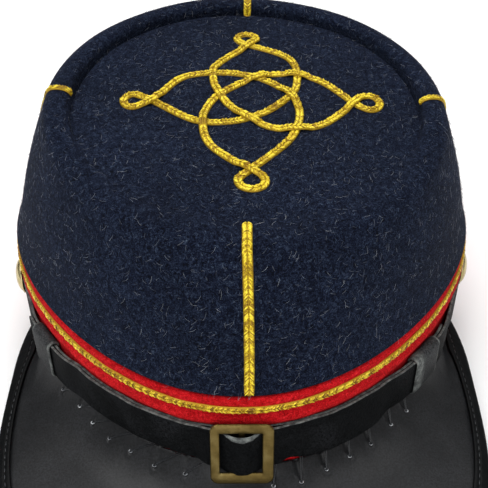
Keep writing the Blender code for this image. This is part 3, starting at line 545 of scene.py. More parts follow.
# Band: red wool folded over at the top into a soft rounded shoulder
band = {
    "shoulder": 1.6, "swell": 0.45, "swellFrom": 27.0,
    "puff": 1.3, "puffHeight": 25.9, "puffReach": 3.6,  # it bulges over the strap, under the braid
    "wave": 0.22, "turns": 420,
}
bandTurns = np.arange(band["turns"]) * 360.0 / band["turns"]
profile = [(-head["bandThickness"], 0.0), (-0.15, 0.0), (0.0, 0.3)]
profile += [(0.0, h) for h in np.linspace(2.0, 22.0, 10)]
for h in np.linspace(22.6, 33.4, 20):
    fromPuff = min(1.0, abs(h - band["puffHeight"]) / band["puffReach"])
    swell = band["swell"] * math.sin(math.pi * max(0.0, h - band["swellFrom"]) / 12.0)
    profile.append((band["puff"] * math.cos(0.5 * math.pi * fromPuff) ** 2 + swell, h))
for a in np.radians(range(15, 181, 15)):
    out = (band["shoulder"] + 0.5 * band["swell"]) * math.cos(a) - band["shoulder"] + 0.5 * band["swell"]
    profile.append((out, head["bandHeight"] - band["shoulder"] + band["shoulder"] * math.sin(a)))
profile += [(-head["bandThickness"], h) for h in np.linspace(32.5, 2.0, 5)]
profile = np.array(profile)
wave = band["wave"] * (np.sin(np.radians(bandTurns) * 17.0 + 0.6)
                       + 0.7 * np.sin(np.radians(bandTurns) * 41.0))
faceShare = smoothStep((profile[:, 0] + head["bandThickness"]) / head["bandThickness"])
upShare = smoothStep(profile[:, 1] / 30.0)
topShare = smoothStep((profile[:, 1] - 31.0) / 4.0)
bandGrid = headPoint(bandTurns[:, None],
                     profile[None, :, 0] + 0.5 * wave[:, None] * (faceShare * upShare)[None],
                     profile[None, :, 1] + 0.6 * (wave[:, None] - band["wave"]) * topShare[None])
bandMesh = gridMesh("redBand", bandGrid, ringed=True, tubed=True)
settle(addPiece("redBand", bandMesh, redWool), "red_wool", "band")
print("stage: band")

# Gold braid: two cords side by side, bound by threads that slant to either side
braid = {
    "width": 3.0, "thickness": 1.1, "pitch": 0.53, "slant": 42.0, "threadLength": 1.7,
    "threadWidth": 0.48, "threadHeight": 0.54, "apart": 0.205, "rise": 0.6,
    "core": 0.84, "coreHeight": 0.58, "coreStep": 0.8, "roundEnd": 1.3,
}
# round the core's two humps, as degrees on each
coreSides = {"left": (180, 150, 120, 90, 65, 48), "right": (132, 115, 90, 60, 30, 0)}
threadTree, given, result = newTree("braidThreads", {
    "Thread Length": "Float", "Thread Width": "Float", "Thread Height": "Float", "Slant": "Float",
    "Cord Offset": "Float", "Rise": "Float", "Seed": "Int", "Material": "Material"})
ball = addNode(threadTree, "GeometryNodeMeshUVSphere", {"Segments": 7, "Rings": 4, "Radius": 0.5})
size = addNode(threadTree, "ShaderNodeCombineXYZ", {
    "X": given["Thread Length"], "Y": given["Thread Width"], "Z": given["Thread Height"]})
pair = addNode(threadTree, "GeometryNodeJoinGeometry")
for side in (1.0, -1.0):
    slant = addNode(threadTree, "ShaderNodeMath", {0: given["Slant"], 1: side}, operation="MULTIPLY")
    offset = addNode(threadTree, "ShaderNodeMath", {0: given["Cord Offset"], 1: side}, operation="MULTIPLY")
    setInputs(pair, {"Geometry": addNode(threadTree, "GeometryNodeTransform", {
        "Geometry": ball, "Scale": size,
        "Translation": addNode(threadTree, "ShaderNodeCombineXYZ", {"Y": offset, "Z": given["Rise"]}),
        "Rotation": addNode(threadTree, "ShaderNodeCombineXYZ", {"Z": slant})})})
aheadMark = addNode(
    threadTree, "GeometryNodeInputNamedAttribute", {"Name": "ahead"}, data_type="FLOAT_VECTOR")
variety = addNode(threadTree, "FunctionNodeRandomValue", {
    "Min": (0.88, 0.85, 0.8), "Max": (1.1, 1.12, 1.22), "Seed": given["Seed"]}, data_type="FLOAT_VECTOR")
tone = addNode(
    threadTree, "FunctionNodeRandomValue", {2: 0.0, 3: 1.0, "Seed": given["Seed"]}, data_type="FLOAT")
scattered(threadTree, given, result, given["Geometry"], pair, facingUp(threadTree, aheadMark), variety, tone)


def evenly(route, normals, pitch, closed):
    # the route again, at even steps of about the pitch
    if closed:
        route, normals = np.concatenate([route, route[:1]]), np.concatenate([normals, normals[:1]])
    run = runAlong(route)
    count = max(4, int(round(run[-1] / pitch)))
    at = np.linspace(0.0, run[-1], count + 1)
    at = at[:-1] if closed else at
    route, normals = (np.stack([np.interp(at, run, values[:, k]) for k in range(3)], -1)
                      for values in (route, normals))
    if closed:
        ahead = np.roll(route, -1, axis=0) - np.roll(route, 1, axis=0)
    else:
        ahead = np.gradient(route, axis=0)
    ahead = unit(ahead)
    side = unit(np.cross(unit(normals), ahead))
    return route, unit(np.cross(ahead, side)), ahead, side, run[-1]


def braidPiece(name, route, normals, closed, seed, width=braid["width"], material=gold):
    core, lifted, ahead, side, length = evenly(route, normals, braid["coreStep"], closed)
    half, tall = 0.25 * width * braid["core"], braid["thickness"] * braid["coreHeight"]
    section = [(place * half + half * math.cos(a), tall * math.sin(a))
               for place, degrees in ((-1.0, coreSides["left"]), (1.0, coreSides["right"]))
               for a in np.radians(degrees)]
    section = np.array(section + [(half, -0.25), (-half, -0.25)])
    narrow = np.ones(len(core))
    if not closed:
        near = np.minimum(np.arange(len(core)), np.arange(len(core))[::-1]) * length / (len(core) - 1)
        narrow = roundEnd(near, braid["roundEnd"], 0.06)
    section = section[None] * narrow[:, None, None]
    grid = core[:, None] + side[:, None] * section[..., :1] + lifted[:, None] * section[..., 1:]
    mesh = gridMesh(name, grid, closed, tubed=True, capped=not closed)
    # the core is marked for its painted shade, the darker colour seen between the threads
    markPoints(mesh, "paintedGapShade", np.ones(len(mesh.vertices)))
    body = addPiece(name + "Core", mesh, material)
    beads, lifted, ahead = evenly(route, normals, braid["pitch"], closed)[:3]
    if not closed:
        beads, lifted, ahead = beads[2:-2], lifted[2:-2], ahead[2:-2]
    points = bpy.data.meshes.new(name + "Points")
    points.from_pydata(beads.tolist(), [], [])
    points.transform(hatPlace)
    turnOnly = np.array(hatPlace.to_3x3().normalized())
    markPoints(points, "upwards", lifted @ turnOnly.T, "FLOAT_VECTOR")
    markPoints(points, "ahead", ahead @ turnOnly.T, "FLOAT_VECTOR")
    size = 0.001 * width / braid["width"]
    threads = grown(name + "Threads", points, threadTree, {
        "Thread Length": braid["threadLength"] * size, "Thread Width": braid["threadWidth"] * size,
        "Thread Height": braid["threadHeight"] * size, "Slant": math.radians(braid["slant"]),
        "Cord Offset": braid["apart"] * width * 0.001, "Rise": braid["rise"] * 0.001, "Seed": seed,
        "Material": material})
    whole = joined(name, [body, threads])
    whole.data.shade_smooth()
    return whole


bandRing = np.arange(720) * 0.5
bandRoute = headPoint(bandRing, band["swell"] * 0.9, 31.0)
bandBraid = braidPiece("bandBraid", bandRoute, outwardsAt(bandRing), True, 3, 2.9, bandGold)
settle(bandBraid, "gold_braid", "band_braid")

# Turns of each side braid at the top and at the band, and where it starts and ends: marks of the
# crown's rows, 0 at the band, 1 to 2 across the roll, over 2 on the round top. It turns aside early,
# on the roll, by the share "early", and is sunk into the cloth of the wall by "sunk"
sideBraids = {
    "frontBraid": {
        "node": "braid_front", "width": 3.7, "top": -90.0, "foot": -88.4,
        "start": 1.955, "end": 0.03, "early": 0.0, "sunk": 0.0},
    "backBraid": {
        "node": "braid_back", "width": 3.5, "top": 89.2, "foot": 90.0,
        "start": 2.0, "end": 0.02, "early": 0.0, "sunk": 0.0},
    "leftBraid": {
        "node": "braid_left", "width": 2.9, "top": 180.0, "foot": 165.0,
        "start": 1.93, "end": 0.02, "early": 0.2, "sunk": 0.5},
    "rightBraid": {
        "node": "braid_right", "width": 2.9, "top": -1.0, "foot": 14.0,
        "start": 1.93, "end": 0.02, "early": 0.2, "sunk": 0.5},
}
for seed, (name, sideBraid) in enumerate(sideBraids.items()):
    low = min(sideBraid["top"], sideBraid["foot"]) - 1.0
    high = max(sideBraid["top"], sideBraid["foot"]) + 1.0
    columns = np.linspace(low, high, 13)
    patch, patchNormals, marks = crownSkin(columns)
    route, normals = [], []
    for i in range(len(marks))[::-1]:
        mark = marks[i]
        if not sideBraid["end"] <= mark <= sideBraid["start"]:
            continue
        early = sideBraid["early"] * float(smoothStep((1.7 - mark) / 0.9))
        down = 1.0 - min(1.0, mark) ** 1.6 * (1.0 - early)
        turn = sideBraid["top"] + (sideBraid["foot"] - sideBraid["top"]) * down
        point, normal = (np.array([np.interp(turn, columns, values[:, i, k]) for k in range(3)])
                         for values in (patch, patchNormals))
        sunk = sideBraid["sunk"] * float(smoothStep((1.25 - mark) / 0.3))
        route.append(point - sunk * normal)
        normals.append(normal)
    # its end is tucked in behind the band's edge
    route.append(route[-1] + 0.5 * unit(route[-1] - route[-2]))
    normals.append(normals[-1])
    piece = braidPiece(name, np.array(route), unit(np.array(normals)), False, seed + 11, sideBraid["width"])
    settle(piece, "gold_braid", sideBraid["node"])
print("stage: band and side braids")

# Knot: one strand that loops at four rings and passes over and under itself
knot = {
    "centre": (2.0, -0.3), "reach": 40.1, "ringLength": 3.7, "ringWidth": 4.2,
    "lift": 0.95, "level": 1.9, "ramp": 4.0, "width": 3.35,
    "step": 0.8, "easing": 12, "easeWithin": 0.84,
    # each ring's turn and size, then the strand's distances from the centre on the way to the next
    "arcs": (
        (92.1, 0.86, (0.87, 0.61, 0.34, 0.222, 0.177, 0.2, 0.26, 0.44, 0.643, 0.874)),
        (1.6, 0.95, (0.863, 0.678, 0.488, 0.335, 0.27, 0.278, 0.343, 0.47, 0.667, 0.888)),
        (269.4, 1.0, (0.859, 0.593, 0.453, 0.385, 0.338, 0.338, 0.383, 0.493, 0.697, 0.835)),
        (179.9, 0.88, (0.835, 0.535, 0.312, 0.209, 0.183, 0.191, 0.254, 0.457, 0.758, 0.9)),
    ),
}
guide = []
for i, (ringTurn, ringSize, distances) in enumerate(knot["arcs"]):
    nextTurn = knot["arcs"][(i + 1) % 4][0]
    out = np.array((math.cos(math.radians(ringTurn)), math.sin(math.radians(ringTurn))))
    onwards = np.array((-out[1], out[0]))
    for a in np.radians(range(45, 316, 45)):
        guide.append(out * (knot["reach"] - ringSize * knot["ringLength"] * math.cos(a))
                     + onwards * ringSize * knot["ringWidth"] * math.sin(a))
    sweep = (nextTurn - ringTurn) % 360.0
    for step, distance in enumerate(distances):
        a = math.radians(ringTurn + sweep * step / (len(distances) - 1))
        guide.append(np.array((math.cos(a), math.sin(a))) * knot["reach"] * distance)
guide = np.array(guide)
t = (np.arange(12) / 12.0)[None, :, None]
before, start, end, after = (np.roll(guide, -k, axis=0)[:, None] for k in (-1, 0, 1, 2))
strand = 0.5 * (2.0 * start + (end - before) * t
                + (2.0 * before - 5.0 * start + 4.0 * end - after) * t ** 2
                + (3.0 * start - before - 3.0 * end + after) * t ** 3)
strand = np.pad(strand.reshape(-1, 2), ((0, 0), (0, 1)))
evened = evenly(strand, np.tile((0.0, 0.0, 1.0), (len(strand), 1)), knot["step"], True)
strand, strandLength = evened[0][:, :2], evened[-1]
for _ in range(knot["easing"]):
    # eases the curves between the rings
    distance = np.linalg.norm(strand, axis=1) / knot["reach"]
    ease = smoothStep((knot["easeWithin"] - distance) / 0.1)[:, None]
    between = 0.5 * (np.roll(strand, 1, axis=0) + np.roll(strand, -1, axis=0))
    strand = strand + 0.5 * ease * (between - strand)
stepLength = strandLength / len(strand)
stretches = np.roll(strand, -1, axis=0) - strand
found = []
for i, here in enumerate(stretches):
    # where this short stretch crosses a later one
    gap = strand - strand[i]
    across = here[0] * stretches[:, 1] - here[1] * stretches[:, 0]
    across[np.abs(across) < 1e-9] = 1e-9
    tHere = (gap[:, 0] * stretches[:, 1] - gap[:, 1] * stretches[:, 0]) / across
    tThere = (gap[:, 0] * here[1] - gap[:, 1] * here[0]) / across
    for j in np.nonzero((tHere >= 0) & (tHere < 1) & (tThere >= 0) & (tThere < 1))[0]:
        if j > i + 1 and not (i == 0 and j == len(strand) - 1):
            found.append(i + tHere[j])
overs = np.array(found)  # the stretch that comes first was laid last, on top
away = np.abs(np.arange(len(strand))[:, None] - overs[None])
away = np.minimum(away, len(strand) - away).min(axis=1) * stepLength
lift = knot["lift"] * (1.0 - smoothStep((away - knot["level"]) / knot["ramp"]))
knotX, knotY = knot["centre"][0] + strand[:, 0], knot["centre"][1] + strand[:, 1]
knotRoute = topPoint(knotX, knotY, lift + topHeight(knotX, knotY))
settle(braidPiece("topKnot", knotRoute, np.tile(topUp, (len(knotRoute), 1)), True, 29, knot["width"]),
       "gold_braid", "top_knot")
print("stage: knot,", len(found), "crossings")

# Peak: black leather, its inner margin turned up against the band by the stitches
peak = {
    "thickness": 2.5, "halfWidth": 84.2, "sideY": -22.0, "cornerY": -50.0, "frontY": -155.0,
    "squareness": 2.9, "drop": 15.0, "dropPower": 1.3, "seam": 4.6, "roundLength": 250.0,
    "endTurn": -12.0, "endTuck": 3.5, "endDrop": 1.9, "endShare": 0.1,
    "lip": 7.0, "lipReach": 18.0, "lipFull": 13.0, "lipPower": 2.4, "lipFade": 0.2,
    "lipLeft": 1.5, "lipGap": 0.5,  # it stands higher on the left, and lower under the strap's flare
    "steps": 420, "puckerDepth": 0.3,
}
binding = {"top": 7.0, "below": 6.0, "thickness": 1.1, "gap": 0.3}


def peakOutline(part):
    sideLength = peak["sideY"] - peak["cornerY"]
    whole = 2.0 * sideLength + peak["roundLength"]
    along = part * whole
    fromEnd = min(along, whole - along)
    if fromEnd < sideLength:
        share = fromEnd / sideLength
        x = peak["halfWidth"] - peak["endTuck"] * (1.0 - share) ** 2
        return np.array((math.copysign(x, part - 0.5), peak["sideY"] - sideLength * share, 0.0))
    a = math.pi * (along - sideLength) / peak["roundLength"]
    x = -peak["halfWidth"] * math.copysign(abs(math.cos(a)) ** (2.0 / peak["squareness"]), math.cos(a))
    y = peak["cornerY"] + (peak["frontY"] - peak["cornerY"]) * math.sin(a) ** (2.0 / peak["squareness"])
    return np.array((x, y, 0.0))


def peakTurn(part):
    return peak["endTurn"] - (180.0 + 2.0 * peak["endTurn"]) * (1.0 - part)


def peakSpan(part):
    # from the leather's hidden inner edge to its outer one, and the length between them
    inner, outer = headPoint(peakTurn(part), -peak["seam"], 0.0), peakOutline(part)
    return inner, outer, np.linalg.norm(outer - inner)


def peakPoint(part, inset, height=0.0):
    inner, outer, length = peakSpan(part)
    nearEnd = float(smoothStep(2.0 - min(part, 1.0 - part) / peak["endShare"]))
    forward = max(0.0, (peak["sideY"] - outer[1]) / (peak["sideY"] - peak["frontY"]))
    pastSeam = max(0.0, length - inset - peak["seam"]) / max(0.1, length - peak["seam"])
    point = outer + (inner - outer) * (inset / length)
    slope = peak["drop"] * forward ** peak["dropPower"] * pastSeam
    point[2] = -0.3 - peak["endDrop"] * nearEnd - slope + height
    return point


def besideBand(point):
    # about how far in front of the band's face a point is
    size = math.hypot(point[0] / head["halfWidth"], point[1] / head["halfLength"])
    turn = math.degrees(math.atan2(point[1] / head["halfLength"], point[0] / head["halfWidth"]))
    face = oval(np.array(turn))
    reach = math.hypot(face[0] / head["halfWidth"], face[1] / head["halfLength"])
    return (size / reach - 1.0) * np.linalg.norm(face)


def bandInset(part):
    # how far inwards from its edge the leather meets the band
    inner, outer, length = peakSpan(part)
    near, far = 0.0, length
    for _ in range(24):
        inset = 0.5 * (near + far)
        if besideBand(outer + (inner - outer) * (inset / length)) > 0.3:
            near = inset
        else:
            far = inset
    return near


# The hand stitches that hold the peak: where each comes up through the leather, as the turn and the
# distance in front of the band, and how far along the band its thread slants before it goes behind
seam = {
    "thread": 0.27, "threadTop": 8.6, "eyeRadius": 0.72, "eyeDepth": 1.3, "eyeRim": 0.3,
    "sides": (
        {"slant": 5.6, "furrow": 0.35, "eyes": (
            (-136.2, 3.3), (-130.3, 3.1), (-125.5, 3.9), (-120.3, 4.4), (-114.8, 4.3), (-108.9, 4.8),
            (-102.1, 4.3))},
        {"slant": 1.2, "furrow": 1.2, "eyes": (
            (-49.8, 4.3), (-54.7, 4.1), (-60.9, 4.9), (-66.3, 4.7), (-72.0, 5.1), (-77.8, 5.9),
            (-83.6, 5.4))},
    ),
}
eyes = [(turn, out, side["slant"], side["furrow"]) for side in seam["sides"] for turn, out in side["eyes"]]


def lipReach(part):
    # the turned-up margin's width, up to the binding at most
    return min(peak["lipReach"], max(0.0, bandInset(part) - binding["top"] - 0.6))


def lipHeight(part, fromBand):
    # how far the leather's turned-up margin stands over the rest of the peak
    reach = lipReach(part)
    if reach < 0.05:
        return 0.0
    share = min(1.0, max(0.0, fromBand / reach))
    turn = peakTurn(part)
    higher = peak["lipLeft"] * float(smoothStep((-91.0 - turn) / 8.0))
    lower = peak["lipGap"] * math.exp(-((turn + 74.0) / 16.0) ** 2)
    fading = float(smoothStep((min(part, 1.0 - part) - 0.01) / peak["lipFade"]))
    whole = 1.0 - (1.0 - min(1.0, reach / peak["lipFull"])) ** 2
    return (peak["lip"] + higher - lower) * fading * whole * (1.0 - share) ** peak["lipPower"]


def pucker(points):
    # the pull of the stitches: a hole with a raised rim, a furrow to the band, slack between
    depth = np.zeros(points.shape[:-1])
    near = np.zeros(points.shape[:-1])
    for turn, out, _, furrow in eyes:
        gap = points[..., :2] - headPoint(turn, out, 0.0)[:2]
        inwards = -outwardsAt(turn)[:2]
        far = np.linalg.norm(gap, axis=-1)
        along = gap @ inwards
        beside = np.abs(gap @ np.array((-inwards[1], inwards[0])))
        depth -= seam["eyeDepth"] * np.exp(-(far / (0.58 * seam["eyeRadius"])) ** 2)
        depth += seam["eyeRim"] * np.exp(-((far - 1.5 * seam["eyeRadius"]) / 0.38) ** 2)
        depth -= furrow * np.exp(-(beside / 0.9) ** 2) * smoothStep(along / 2.5)
        near = np.maximum(near, np.exp(-(far / 3.6) ** 2))
    return depth - peak["puckerDepth"] * near


peakColumns = []  # each from (distance in from the edge, height) of its points
for part in np.linspace(0.0, 1.0, peak["steps"] + 1):
    length, face, reach = peakSpan(part)[2], bandInset(part), lipReach(part)
    rounding = min(0.9, 0.4 * lipHeight(part, 0.0))
    places = [(length, 0.0), (face, 0.0)]
    for a in np.radians((0, 30, 60, 90)):
        back = rounding * (1.0 - math.cos(a))
        places.append((face - back, lipHeight(part, back) - rounding * (1.0 - math.sin(a))))
    places += [(face - reach * share, lipHeight(part, reach * share))
               for share in np.linspace(0.14, 1.0, 26)]
    places += [((face - reach) * (1.0 - share), 0.0) for share in np.linspace(0.0, 1.0, 40)[1:]]
    places += [(inset, -peak["thickness"])
               for inset in (0.0, 0.25 * face, 0.5 * face, 0.75 * face, face, length)]
    peakColumns.append([peakPoint(part, *place) for place in places])
peakGrid = np.array(peakColumns)
shown = slice(3, peakGrid.shape[1] - 6)  # past the rows behind the band, short of those underneath
x, y = peakGrid[:, shown, 0], peakGrid[:, shown, 1]
uneven = (0.28 * np.sin(x / 13.0 + 0.8) * np.sin(y / 11.0 - 0.4)
          + 0.12 * np.sin(x / 5.1) * np.sin(y / 6.3 + 1.0))
rowsFromEdge = np.arange(x.shape[1])[::-1]
peakGrid[:, shown, 2] += pucker(peakGrid[:, shown]) + uneven * smoothStep((rowsFromEdge - 2) / 12.0)
peakMesh = gridMesh("leatherPeak", peakGrid, ringed=False, tubed=True, capped=True)
settle(addPiece("leatherPeak", peakMesh, peakLeather, sharp=70.0), "peak_leather", "peak")


def peakSurface(turn, out):
    # the leather's surface at a place beside the band
    part = 1.0 - (peak["endTurn"] - turn) / (180.0 + 2.0 * peak["endTurn"])
    height = float(peakPoint(part, bandInset(part) - out)[2]) + lipHeight(part, out)
    return headPoint(turn, out, height)


def cord(name, route, radius, material, sides=8):
    # a round thread along a route, with rounded ends
    route = np.array(route)
    run = runAlong(route)
    ahead = unit(np.gradient(route, axis=0))
    side = unit(np.cross(ahead, np.array((0.13, 0.21, 1.0))))
    lifted = np.cross(side, ahead)
    size = radius * roundEnd(np.minimum(run, run[-1] - run), radius, 0.05)
    a = np.arange(sides) * 2.0 * math.pi / sides
    ring = (side[:, None] * np.cos(a)[None, :, None] + lifted[:, None] * np.sin(a)[None, :, None])
    grid = route[:, None] + ring * size[:, None, None]
    return addPiece(name, gridMesh(name, grid, False, tubed=True, capped=True), material)


stitches, loops = [], []
for turn, out, slant, _ in eyes:
    low, high = peakSurface(turn, out), headPoint(turn + slant, 0.35, seam["threadTop"])
    for spread in (-0.32, 0.34):
        side = unit(np.cross(high - low, np.array((0.0, 0.0, 1.0)))) * spread
        route = [low - np.array((0.0, 0.0, 0.7))]
        for share in np.linspace(0.0, 1.0, 15):
            at = low + (high - low) * share + side * (0.25 + 0.9 * share)
            at[2] += 0.12 + 0.35 * math.sin(math.pi * share)
            route.append(at)
        stitches.append(cord("stitch", route, 0.5 * seam["thread"], threadMaterial))
    loopRadius = 0.8 * seam["eyeRadius"]
    loop = [low + np.array((loopRadius * math.cos(a), loopRadius * math.sin(a), 0.1))
            for a in np.radians(np.arange(115.0, 430.0, 21.0))]
    # each loop is coloured pale: a painted glint on the dark thread
    loops.append(cord("stitchLoop", loop, 0.62 * seam["thread"], glintLoopMaterial))
settle(joined("peakStitches", stitches), "peak_leather")
settle(joined("stitchLoops", loops), "peak_leather")
print("stage: peak")

# Binding: a strip of thin leather folded round the peak's edge and stitched through
bindingLook = {
    "seamInset": 4.4, "seamDip": 0.32, "crown": 0.35, "easedEdge": 0.35, "wrinkle": 0.1, "steps": 620,
}
stitch = {"pitch": 2.7, "length": 2.0, "width": 0.5, "height": 0.42}
above, eased = binding["gap"] + binding["thickness"], bindingLook["easedEdge"]
foldRadius = 0.5 * peak["thickness"] + above
middleHeight = -0.5 * peak["thickness"]
bindingColumns, seamRoute = [], []
for number, part in enumerate(np.linspace(0.0, 1.0, bindingLook["steps"] + 1)):
    widest = peakSpan(part)[2] - 0.5
    topWidth, belowWidth = min(binding["top"], widest), min(binding["below"], widest)
    wrinkle = bindingLook["wrinkle"] * (math.sin(number * 0.9) * math.sin(number * 0.137 + 0.5)
                                        + 0.6 * math.sin(number * 2.3 + 1.0))
    places = [(topWidth, binding["gap"] - 0.25)]
    places += [(topWidth - eased * (1.0 - math.cos(a)), above - eased + eased * math.sin(a))
               for a in np.radians((0, 45, 90))]
    for share in np.linspace(0.12, 1.0, 16):
        inset = topWidth * (1.0 - share)
        dip = bindingLook["seamDip"] * math.exp(-((inset - bindingLook["seamInset"]) / 0.45) ** 2)
        crowned = bindingLook["crown"] * math.sin(math.pi * (1.0 - share)) ** 0.8
        places.append((inset, above - dip + 0.6 * crowned + 0.5 * wrinkle * share))
    fold = foldRadius + 0.4 * wrinkle
    places += [(-0.55 * fold * math.cos(a), middleHeight + fold * math.sin(a))
               for a in np.radians(range(75, -91, -15))]
    places += [(belowWidth * share, -peak["thickness"] - above) for share in (0.3, 0.6, 0.95, 1.0)]
    places += [(inset, -peak["thickness"] - 0.05) for inset in (belowWidth, 0.5 * belowWidth, 0.05)]
    places += [(inset, 0.02) for inset in (0.05, 0.5 * topWidth, topWidth)]
    bindingColumns.append([peakPoint(part, *place) for place in places])
    if 0.008 < part < 0.992:
        seamRoute.append(peakPoint(part, min(bindingLook["seamInset"], topWidth - 1.5),
                                   above - bindingLook["seamDip"] + 0.2))
bindingMesh = gridMesh("binding", np.array(bindingColumns), False, tubed=True, capped=True)
settle(addPiece("peakBinding", bindingMesh, bindingLeather, sharp=70.0), "peak_leather", "peak_binding")

stitchTree, given, result = newTree("stitchRow", {
    "Pitch": "Float", "Stitch Length": "Float", "Stitch Width": "Float", "Stitch Height": "Float",
    "Seed": "Int", "Material": "Material"})
curve = addNode(stitchTree, "GeometryNodeMeshToCurve", {"Mesh": given["Geometry"]})
steps = addNode(
    stitchTree, "GeometryNodeResampleCurve", {"Curve": curve, "Length": given["Pitch"]}, mode="LENGTH")
spots = addNode(stitchTree, "GeometryNodeCurveToPoints", {"Curve": steps}, mode="EVALUATED")
lump = addNode(stitchTree, "GeometryNodeTransform", {
    "Geometry": addNode(stitchTree, "GeometryNodeMeshUVSphere", {"Segments": 7, "Rings": 5, "Radius": 0.5}),
    "Scale": addNode(stitchTree, "ShaderNodeCombineXYZ", {
        "X": given["Stitch Length"], "Y": given["Stitch Width"], "Z": given["Stitch Height"]})})
variety = addNode(stitchTree, "FunctionNodeRandomValue", {
    "Min": (0.9, 0.9, 0.9), "Max": (1.08, 1.1, 1.1), "Seed": given["Seed"]}, data_type="FLOAT_VECTOR")
scattered(stitchTree, given, result, spots, lump, facingUp(stitchTree, spots.outputs["Tangent"]), variety)

seamMesh = bpy.data.meshes.new("seamRoute")
seamMesh.from_pydata(np.array(seamRoute).tolist(), [(i, i + 1) for i in range(len(seamRoute) - 1)], [])
seamMesh.transform(hatPlace)
markPoints(seamMesh, "upwards", [(0.0, 0.0, 1.0)] * len(seamRoute), "FLOAT_VECTOR")
bindingStitches = grown("bindingStitches", seamMesh, stitchTree, {
    "Pitch": stitch["pitch"] * 0.001, "Stitch Length": stitch["length"] * 0.001,
    "Stitch Width": stitch["width"] * 0.001, "Stitch Height": stitch["height"] * 0.001,
    "Seed": 5, "Material": threadMaterial})
bindingStitches.data.shade_smooth()
settle(bindingStitches, "peak_leather")
print("stage: binding")

# Chin strap: two lengths of leather, one over the other, with raw edges
strap = {
    "width": 14.0, "thickness": 1.05, "frontZ": 17.6, "buttonZ": 12.8, "buttonTurn": 8.9, "tail": 7.0,
    "stepDown": (1.0, 8.0), "flare": 2.2, "flareTurns": (-83.0, -74.0, -62.0, -54.0),
    "endShare": 0.72, "endRound": 2.4, "taper": 0.26, "taperReach": 32.0,
    "roundEdge": 0.3, "facePoints": 25, "step": 0.5, "wornHalf": 5.4, "wornDepth": 1.5,
    "underLow": 0.55,  # the under length lies this much lower
    "gap": 0.3, "perDegree": 1.65,  # between the layers, and along the strap for a degree of turn
    "lengths": {
        "strapLeft": {"node": "strap_left", "button": -169.9, "freeEnd": -34.0, "layer": 0},
        "strapRight": {"node": "strap_right", "button": -7.6, "freeEnd": -149.8, "layer": 1},
    },
}
keeper = {
    "thickness": 0.8, "clear": 0.35, "corner": 1.6, "reach": (6.0, 13.0),
    "loops": {
        "keeperLeft": {"node": "keeper_left", "rear": -145.5, "front": -138.0, "worn": 0.0},
        "keeperRight": {"node": "keeper_right", "rear": -40.0, "front": -48.5, "worn": 1.0},
    },
}
buckle = {
    "width": 19.1, "height": 21.2, "bar": 3.2, "lowBar": 0.7, "offCentre": -0.3, "thickness": 1.1,
    "corner": 2.5, "windowCorner": 0.25, "bevel": 0.4, "centreBar": 2.0,
    "lean": 14.0, "y": -110.7, "z": 17.6, "ramp": 6.2, "crest": 0.4,
    "pullReach": 14.5, "pullRamp": 5.5,  # the strap is pulled forward up to this far from the middle
}


def strapMiddle(turn):
    fromFront = np.minimum(1.0, np.abs(turn + 90.0) / (90.0 - strap["buttonTurn"]))
    return strap["frontZ"] + (strap["buttonZ"] - strap["frontZ"]) * fromFront ** 1.5


def strapBase(turn):
    near, far = keeper["reach"]
    lift = 0.0 * turn
    for loop in keeper["loops"].values():
        middle = 0.5 * (loop["rear"] + loop["front"])
        lift = np.maximum(lift, smoothStep((far - np.abs(turn - middle)) / (far - near)))
    return strap["gap"] + (keeper["thickness"] + strap["gap"]) * lift


def strapOut(turn, height, layer):
    out = strapBase(turn)
    if layer == 0:
        return out
    near, far = strap["stepDown"]
    otherEnd = strap["lengths"]["strapLeft"]["freeEnd"]
    out = out + smoothStep((otherEnd + far - turn) / (far - near)) * (strap["thickness"] + strap["gap"])
    # it comes out through the buckle and goes back behind its side bars
    lean = math.radians(buckle["lean"])
    frontFace = (-buckle["y"] - head["halfLength"] - (height - buckle["z"]) * math.tan(lean)
                 + 0.5 * buckle["thickness"] / math.cos(lean))
    across = np.abs(oval(turn)[..., 0])
    behindBars = frontFace - buckle["thickness"] / math.cos(lean) - 0.2 - strap["thickness"]
    behindBars = behindBars - 0.45 * np.maximum(0.0, behindBars - 2.0)
    out = out + (behindBars - out) * smoothStep((buckle["pullReach"] - across) / buckle["pullRamp"])
    away = np.clip(np.maximum(0.0, across - buckle["crest"]) / buckle["ramp"], 0.0, 1.0)
    crest = frontFace - 0.95 + 0.11 * (height - buckle["z"] + 0.5 * strap["width"])
    return out + (crest - out) * np.cos(0.5 * math.pi * away)


def strapFlare(turn):
    # how far the lower edge stands off the band, beside the buckle
    start, full, stillFull, end = strap["flareTurns"]
    return strap["flare"] * smoothStep((turn - start) / (full - start)) * smoothStep(
        (end - turn) / (end - stillFull))


def roundedSection(halfHeight, thickness, radius, facePoints):
    # (height, out, 1 at the cut edges): up the outer face, over the top edge and down the back
    section = []
    corners = ((-1, 1, 180.0), (1, 1, 90.0), (1, -1, 0.0), (-1, -1, 270.0))
    for k, (up, outer, start) in enumerate(corners):
        centre = (up * (halfHeight - radius), 0.5 * thickness + outer * (0.5 * thickness - radius))
        for a in np.radians(start - 30.0 * np.arange(4)):
            section.append((centre[0] + radius * math.cos(a), centre[1] + radius * math.sin(a),
                            1.0 if abs(math.cos(a)) > 0.6 else 0.0))
        if k in (0, 2):
            for share in np.linspace(0.0, 1.0, facePoints + 2)[1:-1]:
                section.append((up * (halfHeight - radius) * (1.0 - 2.0 * share),
                                thickness if k == 0 else 0.0, 0.0))
    return np.array(section)


